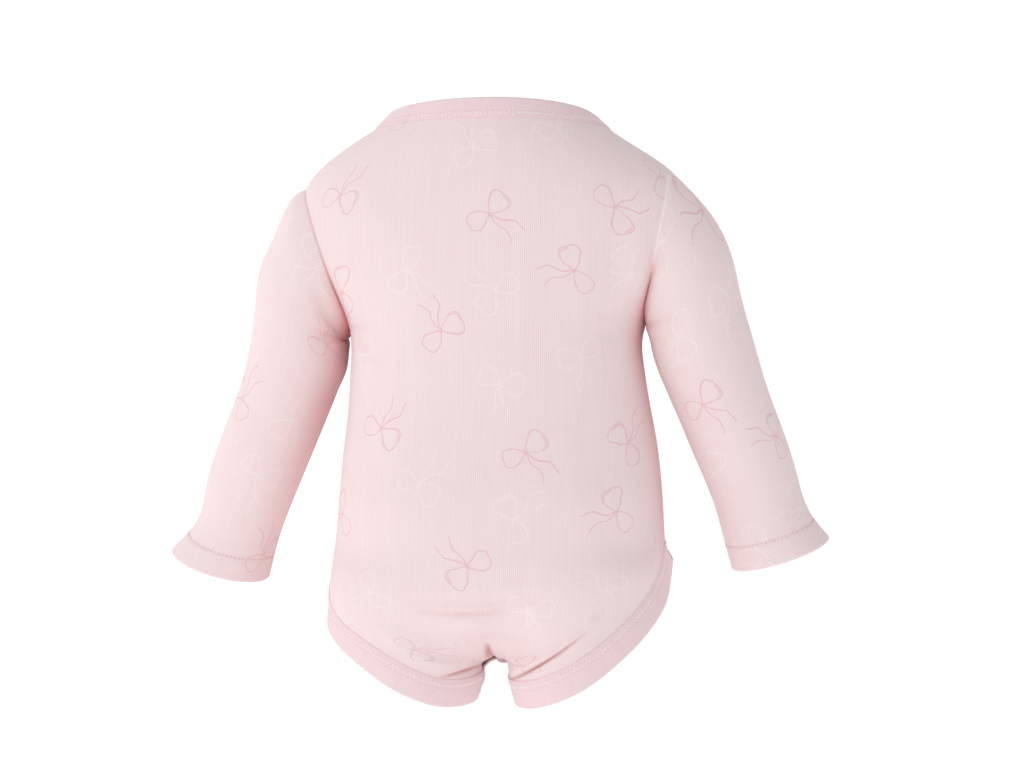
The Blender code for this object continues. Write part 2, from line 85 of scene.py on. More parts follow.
LEG = (
    (90.0, 0, -213.0, -3.0, 0.4, -1.5, 3.0),
    (89.0, 13, -227.2, -3.5, 0.8, -1.8, 3.5),
    (85.8, 25, -240.3, -1.5, 2.2, -2.6, 3.5),
    (77.0, 36, -251.7, 4.5, 1.7, -2.1, 3.5),
    (63.3, 44.5, -262.6, 7.5, 0.5, -0.7, 1.0),
    (48.0, 48.5, -272.5, 9.0, 0.0, 0.2, 0),
    (32.8, 46, -279.8, 10.5, 0.5, 0.4, -1.0),
    (20.4, 38, -283.5, 12.5, 1.6, 0.2, -2.5),
    (11.4, 25, -283.6, 13.0, 1.4, 0, -3.0),
    (7.9, 10, -281.6, 13.0, 0.5, 0, -3.0),
    (10.6, -6, -280.0, 12.0, 2.2, 0, -2.0),
    (13.8, -20, -275.0, 11.0, 1.7, 0, -1.0),
    (20.4, -32, -268.0, 10.0, 0.9, 0, 0),
    (31.0, -41, -258.0, 10.0, 0, 0, 0),
    (46.0, -47, -246.0, 9.0, 0, -0.5, 0),
    (62.0, -45, -233.0, 6.0, 0, -1.0, 0),
    (76.5, -34, -221.5, 2.0, 0.2, -1.5, 1.0),
    (86.5, -18, -213.5, -2.0, 0.4, -1.5, 2.0),
)
FALL_COLUMNS = ("at", "mid_y", "mid_z", "level", "in_x", "in_y", "in_z")
BACK_FALL = (
    (0.0, 61.5, -214.0, 168, 6, -112, -3),
    (1.0, 62.0, -226.0, 162, 6, -92, -18),
    (2.0, 61.0, -237.0, 152, 22, -76, -28),
    (3.0, 58.5, -246.5, 136, 36, -54, -38),
    (4.0, 54.0, -254.0, 116, 44, -36, -48),
    (5.0, 47.0, -260.3, 92, 42, -20, -52),
    (6.0, 39.0, -265.3, 64, 32, -9, -48),
    (7.0, 29.5, -269.6, 38, 18, -2, -40),
    (8.0, 19.0, -273.0, 22, 7, 0, -30),
    (9.0, 7.0, -275.0, 17, 3, 0, -20),
    (10.0, -7.0, -274.8, 19, 4, 0, -14),
    (11.2, -22.0, -270.2, 26, 8, 0, -10),
)
FRONT_FALL = (
    (18.0, -59.6, -212.0, 168, 6, 106, -3),
    (17.0, -59.0, -221.5, 160, 10, 88, -3),
    (16.0, -57.2, -230.5, 145, 24, 64, -4),
    (15.0, -53.8, -239.0, 118, 38, 36, -8),
    (14.0, -48.5, -246.5, 88, 40, 10, -16),
    (13.0, -42.0, -255.0, 60, 30, 5, -24),
    (12.0, -33.5, -264.8, 38, 20, 2, -20),
    (11.0, -20.0, -271.8, 24, 10, 0, -14),
    (10.0, -6.0, -275.6, 18, 6, 0, -8),
)
LEVELS = (-130.0, -150.0, -170.0, -190.0)
LAP = 2.7
LAP_ROWS = (11.9, 13.0)

SLEEVE_COLUMNS = ("out_x", "out_z", "in_x", "in_z", "y", "depth", "drop")
SLEEVE = {
    "left": (
        (114.3, -24.3, 84.0, -101.5, 0, 29.5, 0),
        (124.6, -44.2, 84.2, -104.8, 0, 29.5, 0),
        (132.3, -62.1, 84.4, -109.8, 0, 29.0, 0),
        (136.0, -86.4, 85.7, -118.4, -1, 28.0, 1),
        (141.0, -113.4, 91.1, -130.7, -3, 27.0, 2),
        (149.9, -137.7, 100.8, -151.7, -7, 26.0, 3),
        (159.9, -159.3, 111.0, -173.1, -12, 25.5, 4),
        (168.7, -183.6, 122.2, -196.6, -18, 24.5, 5),
        (173.0, -198.2, 128.2, -210.6, -21, 24.0, 5),
        (189.4, -217.0, 135.4, -233.7, -25, 27.5, 5),
    ),
    "right": (
        (105.0, -24.3, 79.6, -94.5, 0, 29.5, 0),
        (117.6, -40.5, 80.0, -97.7, 0, 29.5, 0),
        (125.3, -57.8, 81.6, -102.6, 0, 29.0, 0),
        (130.0, -78.3, 83.6, -111.8, -1, 28.0, 1),
        (135.4, -98.8, 87.8, -124.2, -3, 27.0, 2),
        (143.2, -126.9, 96.1, -143.8, -7, 26.0, 3),
        (150.6, -148.5, 104.4, -165.1, -12, 25.5, 4),
        (158.3, -173.9, 114.0, -189.8, -18, 24.5, 5),
        (163.8, -192.8, 118.1, -205.2, -21, 24.0, 5),
        (175.1, -209.0, 122.9, -224.6, -25, 27.5, 5),
    ),
}

# ---------------------------------------------------------------------------
# Creases and soft folds. Panels: face (1 back, -1 front), from (x, z) to (x, z).
# Sleeves: from and to (angle round the sleeve in degrees, millimetres above the cuff's edge); 0 is the outer line, 90 the back, 180 the underarm seam.
# bend moves the middle of the fold sideways, depth is less than 0 for a ridge.
# ---------------------------------------------------------------------------

FOLD_COLUMNS = ("face", "x", "z", "to_x", "to_z", "bend", "width", "depth")
FOLDS = (
    # the crease over the right leg's binding, with the roll of cloth above it
    (1, -57, -253.0, -2, -287.0, -3.0, 0.8, 2.4),
    (1, -57, -251, -15, -277, -2.8, 2.6, -2.8),
    (1, -50, -262, -30, -277, -2.0, 3.0, -0.4),
    # the crease over the left leg's binding
    (1, 26, -281.5, 3, -275.5, 0.8, 0.9, 1.2),
    (1, 37, -270, 12, -274, 1.6, 2.8, -1.6),
    (1, 56, -255, 34, -268, 0.5, 3.0, -0.5),
    # the dimple above the crotch, and the hollow over it, deepest at its low end
    (1, 0.2, -266, 2.8, -279, 0.4, 1.6, 2.5),
    (1, -22, -236, -4, -262, 0.0, 12.0, 4.6),
    (1, 6, -263.5, -18, -264.5, 0.0, 4.4, 2.6),
    (1, 12, -252.5, -14, -253.5, 0.5, 3.8, -1.1),
    (1, -6, -271, -18, -273, 0.0, 2.4, -1.2),
    (1, 26, -262, 10, -270, 0.0, 5.0, -1.2),
    # the pull across the seat
    (1, 38, -244.5, -20, -245.5, 1.8, 1.9, 0.75),
    (1, 34, -241, -30, -240, 1.2, 3.2, 0.5),
    (1, 40, -234, -48, -233, 1.0, 4.0, -0.4),
    # from each underarm down and inwards
    (1, 79, -92, 60, -112, 1.0, 3.6, 1.2),
    (1, 77, -104, 52, -121, 1.5, 5.0, -0.6),
    (1, -77, -86, -60, -106, -1.0, 3.6, 1.2),
    (1, -75, -97, -54, -118, -1.0, 5.0, -0.6),
    # broad soft ones
    (1, 66, -20, 40, -52, 3.0, 10.0, -0.6),
    (1, -72, -40, -66, -86, 0.0, 9.5, 2.4),
    (1, -60, -24, -46, -60, -3.0, 10.0, 0.5),
    (1, 70, -150, 52, -205, -4.0, 11.0, 0.5),
    (1, -72, -140, -60, -190, 4.0, 9.0, 0.7),
    (1, -56, -196, -70, -228, 2.0, 8.0, -0.7),
    (1, 74, -206, 62, -236, 2.0, 8.0, 0.6),
    # the front
    (-1, 44, -243, 16, -264, -1.5, 2.4, 1.4),
    (-1, 40, -237, 14, -257, -1.5, 3.6, -1.1),
    (-1, -47, -240, -15, -265, 2.0, 2.2, 1.5),
    (-1, -42, -233, -14, -257, 2.0, 3.8, -1.2),
    (-1, 26, -232, -22, -231, 1.2, 3.2, 0.7),
    (-1, 22, -238, -26, -237, 1.2, 3.6, -0.6),
    (-1, 79, -91, 56, -114, 1.4, 3.6, 1.2),
    (-1, 76, -104, 50, -124, 1.6, 5.0, -0.6),
    (-1, -76, -85, -54, -110, -1.2, 3.4, 1.2),
    (-1, -74, -98, -50, -120, -1.2, 5.0, -0.6),
    (-1, 30, -32, 64, -20, -2.0, 9.0, 0.6),
    (-1, -28, -34, -60, -18, 2.0, 9.0, 0.6),
    (-1, 62, -150, 40, -206, -4.0, 12.0, 0.7),
    (-1, -30, -120, -58, -176, 4.0, 12.0, -0.6),
    (-1, -66, -170, -52, -214, 3.0, 9.0, 0.7),
    (-1, 12, -196, 18, -226, 2.0, 9.0, -0.5),
)
# Sleeves: side, then from and to, as degrees round the sleeve and millimetres above the cuff's edge.
SLEEVE_FOLDS = (
    (1, 172, 172, 122, 150, -2.0, 3.0, 0.8),
    (1, 168, 162, 120, 136, -2.0, 4.5, -0.4),
    (1, 160, 112, 106, 98, 3.0, 6.0, 0.45),
    (1, 158, 96, 112, 82, 3.0, 7.0, -0.3),
    (1, 40, 104, 96, 92, -2.0, 9.0, 0.4),
    (1, 30, 60, 100, 44, 2.0, 9.0, 0.4),
    (1, 156, 58, 108, 40, 2.0, 7.0, 0.35),
    (1, 196, 172, 250, 150, 2.0, 3.2, 1.0),
    (1, 202, 116, 262, 98, -2.0, 5.0, 0.8),
    (1, 260, 70, 320, 52, 2.0, 8.0, 0.5),
    (1, 250, 150, 310, 170, 3.0, 9.0, -0.6),
    (1, 0, 176, 40, 150, 2.0, 9.0, 0.5),
    (-1, 172, 168, 120, 146, 2.0, 3.0, 0.7),
    (-1, 162, 158, 118, 134, 2.0, 4.5, -0.35),
    (-1, 158, 106, 108, 92, 3.0, 6.0, 0.4),
    (-1, 156, 92, 114, 78, 3.0, 7.0, -0.3),
    (-1, 36, 124, 92, 112, -2.0, 9.0, 0.4),
    (-1, 156, 54, 112, 38, -2.0, 7.0, 0.35),
    (-1, 26, 54, 90, 38, 2.0, 10.0, 0.35),
    (-1, 196, 168, 252, 146, -2.0, 3.2, 1.0),
    (-1, 200, 112, 260, 94, 2.0, 5.0, 0.8),
    (-1, 256, 64, 322, 50, -2.0, 8.0, 0.5),
    (-1, 248, 146, 306, 166, 3.0, 9.0, -0.6),
    (-1, 4, 168, 44, 146, 2.0, 9.0, 0.45),
)
SLEEVE_ARC = 0.46  # millimetres for each degree round a sleeve, in the table above


def column(table, names, name):
    return np.array([row[names.index(name)] for row in table], float)


def spline(xs, ys, x):
    """Natural cubic spline through the rows (xs, ys), read at x."""
    xs, ys = np.asarray(xs, float), np.asarray(ys, float)
    if xs[0] > xs[-1]:
        xs, ys = xs[::-1], ys[::-1]
    n, h = len(xs), np.diff(xs)
    rise = np.diff(ys, axis=0) / h.reshape((-1,) + (1,) * (ys.ndim - 1))
    bend, right = np.eye(n), np.zeros_like(ys)
    for i in range(1, n - 1):
        bend[i, i - 1 : i + 2] = h[i - 1], 2 * (h[i - 1] + h[i]), h[i]
        right[i] = 6 * (rise[i] - rise[i - 1])
    m = np.linalg.solve(bend, right.reshape(n, -1)).reshape(ys.shape)
    x = np.asarray(x, float)
    i = np.clip(np.searchsorted(xs, x) - 1, 0, n - 2)
    shape = x.shape + (1,) * (ys.ndim - 1)
    step, a, b = h[i].reshape(shape), (xs[i + 1] - x).reshape(shape), (x - xs[i]).reshape(shape)
    return (
        (m[i] * a**3 + m[i + 1] * b**3) / (6 * step)
        + (ys[i] / step - m[i] * step / 6) * a
        + (ys[i + 1] / step - m[i + 1] * step / 6) * b
    )


def eased(x):
    x = np.clip(x, 0.0, 1.0)
    return x * x * (3 - 2 * x)


def torso(name, z):
    return spline(column(TORSO, TORSO_COLUMNS, "z"), column(TORSO, TORSO_COLUMNS, name), z)


def oval(z, t, side, face):
    """Points of the torso's surface at heights z. t is 0 at the middle of the face (1 back, -1 front) and 1 at the side (1 left, -1 right)."""
    z, angle = np.asarray(z, float), np.asarray(t, float) * math.pi / 2
    power = 2 / torso("square", z)
    x = side * torso("left" if side > 0 else "right", z) * np.abs(np.sin(angle)) ** power
    y = face * torso("back" if face > 0 else "front", z) * np.abs(np.cos(angle)) ** power
    return np.stack(np.broadcast_arrays(x, y, z), axis=-1)


def oval_facing(points):
    """Outward unit normals of the torso's surface at points on it."""
    x, y, z = points[..., 0], points[..., 1], points[..., 2]

    def level(z):
        wide = np.where(x >= 0, torso("left", z), torso("right", z))
        deep = np.where(y >= 0, torso("back", z), torso("front", z))
        return wide, deep, torso("square", z)

    wide, deep, power = level(z)
    out_x = power * np.abs(x / wide) ** (power - 1) / wide * np.sign(x)
    out_y = power * np.abs(y / deep) ** (power - 1) / deep * np.sign(y)
    rise = [np.abs(x / w) ** p + np.abs(y / d) ** p for w, d, p in (level(z + 0.2), level(z - 0.2))]
    out = np.stack([out_x, out_y, (rise[0] - rise[1]) / 0.4], axis=-1)
    return out / np.linalg.norm(out, axis=-1, keepdims=True)


def evened(grid, face, first, last, columns):
    """The rows between first and last drawn evenly between those two over the torso's surface, apart from the columns next to the edges."""
    x, y, z = grid[..., 0], grid[..., 1], grid[..., 2]
    side = np.where(x >= 0, 1, -1)
    wide = np.where(x >= 0, torso("left", z), torso("right", z))
    deep, power = torso("back" if face > 0 else "front", z), torso("square", z)
    turn = np.arctan2(np.abs(x / wide) ** (power / 2), np.abs(y / deep) ** (power / 2)) / (math.pi / 2)
    count = grid.shape[1]
    inward = np.minimum(np.arange(count), count - 1 - np.arange(count))
    share = eased((inward - columns[0]) / (columns[1] - columns[0]))
    out = grid.copy()
    for i in range(first + 1, last):
        k = (i - first) / (last - first)
        t, height = turn[first] * (1 - k) + turn[last] * k, z[first] * (1 - k) + z[last] * k
        t, height = turn[i] * (1 - share) + t * share, z[i] * (1 - share) + height * share
        left, right = oval(height, t, 1, face), oval(height, t, -1, face)
        out[i] = np.where((side[i] > 0)[:, None], left, right)
    return out


def share_at(z, y, face):
    depth = torso("back" if face > 0 else "front", z)
    return math.acos(min(1.0, max(0.0, y / depth)) ** (torso("square", z) / 2)) / (math.pi / 2)


def armhole(side, angle):
    """The armhole seam. angle runs from the shoulder tip, by the back and the underarm, to the front."""
    tip, under, back, front = ARMHOLE["left" if side > 0 else "right"]
    z = (tip + under) / 2 + (tip - under) / 2 * np.cos(angle)
    reach = np.abs(np.sin(angle)) ** 0.85
    face = 1 if math.sin(angle) >= 0 else -1
    y = reach * (back if face > 0 else front)
    return oval(z, share_at(z, y, face), side, face), y


def leg_seam(at, side, face):
    rows = np.array(LEG, float)
    rows = rows[:, :4] + side * rows[:, 4:] @ np.array(((1, 0, 0, 0), (0, 0, 1, 0), (0, 0, 0, 1)), float)
    wrapped = np.concatenate([rows[-3:], rows, rows[:4]])
    point = spline(np.arange(-3, len(rows) + 4), wrapped, at)
    if face < 0:
        lap = LAP * (1 - eased((at - LAP_ROWS[0]) / (LAP_ROWS[1] - LAP_ROWS[0])))
        point[0] -= lap
        point[2] -= 0.42 * lap
    point[0] *= side
    return point[:3], point[3]


def neck_height(t, face):
    side, mid = NECK["side"][0], NECK["back" if face > 0 else "front"][0]
    return side + (mid - side) * np.cos(t * math.pi / 2) ** 1.5


def even_along(curve, shares):
    steps = np.linalg.norm(np.diff(curve, axis=0), axis=1)
    along = np.concatenate([[0], np.cumsum(steps)]) / steps.sum()
    return np.stack([np.interp(shares, along, curve[:, k]) for k in range(3)], axis=-1)


def upper_row(v, side, face, shares):
    """Half a panel's row from its middle to its edge: the shoulder seam for v from 0 to 1, the armhole to 2, the side seam to 3."""
    tip, under = ARMHOLE["left" if side > 0 else "right"][:2]
    middle = spline((0, 1, 2, 3), (neck_height(0.0, face), -30.0 if face < 0 else -19.0, -96.0, HIP), v)
    if v <= 1:
        top = NECK["side"][0]
        edge_z, edge_y = top + (tip - top) * v, SEAM
    elif v < 2:
        point, edge_y = armhole(side, math.pi * (v - 1) * face)
        edge_z, edge_y = point[2], max(edge_y, SEAM)
    else:
        edge_z, edge_y = under + (HIP - under) * (v - 2), SEAM
    dense = np.linspace(0, 1, 400)
    if v < 1:
        last = share_at(edge_z, edge_y, face)
        neck = neck_height(dense * last, face)
        flat = middle + (edge_z - middle) * eased(dense)
        z = neck * (1 - v) + flat * v
        z += (edge_z - z[-1]) * dense**4 + (middle - z[0]) * (1 - dense) ** 4
        curve = oval(z, dense * last, side, face)
    else:
        z = middle + (edge_z - middle) * eased(dense)
        curve = oval(z, dense * share_at(edge_z, edge_y, face), side, face)
    return even_along(curve, shares)


def fall_row(side, face, row, shares):
    at, mid_y, mid_z, level, in_x, in_y, in_z = row
    start, out = np.array((0.0, mid_y, mid_z)), np.array((side * level, 0.0, 0.0))
    end, into = leg_seam(at, side, face)[0], np.array((side * in_x, in_y, in_z), float)
    if at in (0.0, float(len(LEG))):
        end[1] += face * SEAM
    v = np.linspace(0, 1, 400)[:, None]
    curve = (
        (2 * v**3 - 3 * v**2 + 1) * start
        + (v**3 - 2 * v**2 + v) * out
        + (3 * v**2 - 2 * v**3) * end
        + (v**3 - v**2) * into
    )
    return even_along(curve, shares)


def lower_rows(side, face, shares, steps):
    """Half a panel lofted through its sections, from the hip (step 0) by the top of the leg opening (1) to the flap's end (2)."""
    under = ARMHOLE["left" if side > 0 else "right"][1]
    table = BACK_FALL if face > 0 else FRONT_FALL
    rows = [upper_row(2 + (z - under) / (HIP - under), side, face, shares) for z in LEVELS]
    rows = np.array(rows + [fall_row(side, face, row, shares) for row in table])
    apart = np.linalg.norm(np.diff(rows, axis=0), axis=2).mean(axis=1)
    along = np.concatenate([[0], np.cumsum(apart)])
    hip, top = along[LEVELS.index(HIP)], along[len(LEVELS)]
    places = np.interp(steps, (0, 1, 2), (hip, top, along[-1]))
    grid = spline(along, rows, places)
    before = places <= top
    hip_edge, top_edge = rows[LEVELS.index(HIP), -1], rows[len(LEVELS), -1]
    k = ((places[before] - hip) / (top - hip))[:, None]
    change = hip_edge + (top_edge - hip_edge) * k - grid[before, -1]
    grid[before] += change[:, None] * (np.asarray(shares, float) ** 8)[:, None]
    ats = np.interp(places, along[len(LEVELS) :], [row[0] for row in table])
    return grid, ats


def normals(grid, outward, closed=False):
    """Unit normals of a grid of points. outward is a direction that one at the grid's middle faces, or the first one of a closed grid."""
    wide = np.concatenate([grid[:, -1:], grid, grid[:, :1]], axis=1) if closed else grid
    facing = np.cross(np.gradient(wide, axis=1), np.gradient(wide, axis=0))
    facing = facing[:, 1:-1] if closed else facing
    facing /= np.maximum(np.linalg.norm(facing, axis=2)[:, :, None], 1e-9)
    middle = facing[len(grid) // 2, 0 if closed else grid.shape[1] // 2]
    return facing * (1 if np.dot(middle, outward) > 0 else -1)


def panel_points(face, upper, shares, lower):
    halves = []
    for side in (-1, 1):
        top = np.array([upper_row(v, side, face, shares) for v in upper])
        low = lower_rows(side, face, shares, lower)[0]
        halves.append(np.concatenate([top, low]))
    right, left = halves
    return np.concatenate([right[:, :0:-1], left], axis=1)


def sleeve_points(side, steps, around):
    """A sleeve's grid, rings from the armhole to the cuff's edge, and the distance of each ring above the cuff's edge."""
    angles = np.arange(around) / around * 2 * math.pi
    rings = [np.array([armhole(side, a)[0] for a in angles])]
    for ox, oz, ix, iz, y, depth, drop in SLEEVE["left" if side > 0 else "right"]:
        middle = np.array((side * (ox + ix) / 2, y, (oz + iz) / 2))
        reach = np.array((side * (ox - ix) / 2, 0.0, (oz - iz) / 2))
        back = np.array((0.0, depth, -drop))
        rings.append(middle + np.outer(np.cos(angles), reach) + np.outer(np.sin(angles), back))
    rings = np.array(rings)
    apart = np.linalg.norm(np.diff(rings, axis=0), axis=2).mean(axis=1)
    along = np.concatenate([[0], np.cumsum(apart)])
    places = along[-1] * np.asarray(steps, float)
    return spline(along, rings, places), along[-1] - places


def neck_frame(around):
    """The neck seam with the directions up the binding and out of it."""
    seam, leans = [], []
    for k in range(around):
        angle = k / around * 2 * math.pi
        face, side = (1 if math.cos(angle) >= 0 else -1), (1 if math.sin(angle) >= 0 else -1)
        t = math.asin(min(1.0, abs(math.sin(angle)))) / (math.pi / 2)
        seam.append(oval(neck_height(t, face), t, side, face))
        share = abs(math.cos(angle)) ** 1.5
        mid = NECK["back" if face > 0 else "front"][1]
        leans.append(math.radians(NECK["side"][1] + (mid - NECK["side"][1]) * share))
    seam, leans = np.array(seam), np.array(leans)
    run = np.roll(seam, -1, axis=0) - np.roll(seam, 1, axis=0)
    inward = np.stack([-run[:, 1], run[:, 0], 0 * run[:, 0]], axis=1)
    inward /= np.linalg.norm(inward, axis=1)[:, None]
    inward *= -np.sign((inward * seam).sum(axis=1))[:, None]
    way = inward * np.sin(leans)[:, None] + np.outer(np.cos(leans), (0, 0, 1))
    out = -inward * np.cos(leans)[:, None] + np.outer(np.sin(leans), (0, 0, 1))
    return seam, way, out


def leg_frame(side, steps):
    """The leg seam from its back end over the hip to its front end, with the directions down the binding and out of it."""
    shares = np.array((0.0, 0.5, 1.0))
    back, back_at = lower_rows(side, 1, shares, steps[::-1])
    front, front_at = lower_rows(side, -1, shares, steps[1:])
    seam = np.concatenate([back[:, -1], front[:, -1]])
    seam[len(back) - 1, 1] = 0.0
    ats = np.concatenate([back_at, front_at])
    leans = np.radians([leg_seam(at, side, 1)[1] for at in ats])
    run = np.gradient(seam, axis=0)
    run /= np.linalg.norm(run, axis=1)[:, None]
    inward = np.cross(run, (0.0, 0.0, 1.0))
    inward /= np.linalg.norm(inward, axis=1)[:, None]
    middle = np.array((side * 48.0, 0.0, 0.0))
    inward *= np.sign((inward * (middle - seam * (1, 1, 0))).sum(axis=1).mean())
    way = inward * np.sin(leans)[:, None] - np.outer(np.cos(leans), (0, 0, 1))
    way -= run * (way * run).sum(axis=1)[:, None]
    way /= np.linalg.norm(way, axis=1)[:, None]
    out = np.cross(run, way)
    out *= -np.sign((out * inward).sum(axis=1).mean())
    return seam, way, out


# ---------------------------------------------------------------------------
# Meshes
# ---------------------------------------------------------------------------


def distance_to(points, line):
    """Distance of each point to the nearest point of a dense line."""
    tree = KDTree(len(line))
    for k, p in enumerate(line):
        tree.insert(p, k)
    tree.balance()
    flat = points.reshape(-1, 3)
    return np.array([tree.find(p)[2] for p in flat]).reshape(points.shape[:-1])


def fold_depth(a, b, rows):
    """Depth at points (a, b) of soft troughs and ridges, one for each row: from, to, bend, width, depth. Also the
    painted shade, dark red, in the steeper troughs.
    """
    depth, painted_shading = np.zeros_like(a), np.zeros_like(a)
    for x, z, to_x, to_z, bend, width, deep in rows:
        sharp = 1.1 if width > 1.5 else 1.7
        way = np.array((to_x - x, to_z - z), float)
        length = np.linalg.norm(way)
        da, db = a - x, b - z
        along = (da * way[0] + db * way[1]) / length
        across = (-da * way[1] + db * way[0]) / length
        share = np.clip(along / length, 0, 1)
        across = across - bend * 4 * share * (1 - share)
        past = np.maximum(0, np.maximum(-along, along - length))
        swell = np.sin(math.pi * np.clip(share, 0.02, 0.98)) if width < 2.0 else 0.35 + 0.65 * np.sin(math.pi * np.clip(share, 0.08, 0.92))
        shape = np.exp(-((across / width) ** 2) - (past / (1.6 * width)) ** 2) * swell
        depth += deep * shape
        # Painted shade: the steeper, narrower troughs are coloured dark red.
        painted_shading = np.maximum(painted_shading, shape * min(1.6, sharp * deep / width)) if width < 3.5 else painted_shading
    return depth, painted_shading


def grid_lengths(grid, row, col, closed=False):
    """u along each row from a column, and v along each column from a row, in millimetres."""
    across = np.linalg.norm(np.diff(grid, axis=1), axis=2)
    u = np.concatenate([np.zeros((len(grid), 1)), np.cumsum(across, axis=1)], axis=1)
    u -= u[:, col : col + 1]
    down = np.linalg.norm(np.diff(grid, axis=0), axis=2)
    v = np.concatenate([np.zeros((1, grid.shape[1])), np.cumsum(down, axis=0)], axis=0)
    v = v[row : row + 1] - v
    return u, v


def mesh_object(name, points, faces, uv=None, bow=None, slots=None, materials=(), painted_shading=None):
    """A mesh of quads. uv and bow have a row for each corner of each face, slots a number for each face,
    painted_shading a number for each point: painted shade above 0, painted highlight below 0.
    """
    mesh = bpy.data.meshes.new(name)
    mesh.from_pydata((points * MM).tolist(), [], faces.tolist())
    for made in materials:
        mesh.materials.append(made)
    if slots is not None:
        mesh.polygons.foreach_set("material_index", np.asarray(slots, np.int32))
    if uv is not None:
        layer = mesh.uv_layers.new(name="cloth")
        layer.data.foreach_set("uv", (uv * MM).astype(np.float32).ravel())
    if bow is not None:
        made = mesh.attributes.new("bow", "FLOAT_VECTOR", "CORNER")
        made.data.foreach_set("vector", bow.astype(np.float32).ravel())
    # The painted shade and highlight, kept as a point attribute for the material.
    if painted_shading is not None:
        made = mesh.attributes.new("painted_shading", "FLOAT", "POINT")
        made.data.foreach_set("value", painted_shading.astype(np.float32))
    mesh.polygons.foreach_set("use_smooth", np.ones(len(faces), bool))
    mesh.update()
    mesh.validate()
    piece = bpy.data.objects.new(name, mesh)
    bpy.context.scene.collection.objects.link(piece)
    return piece


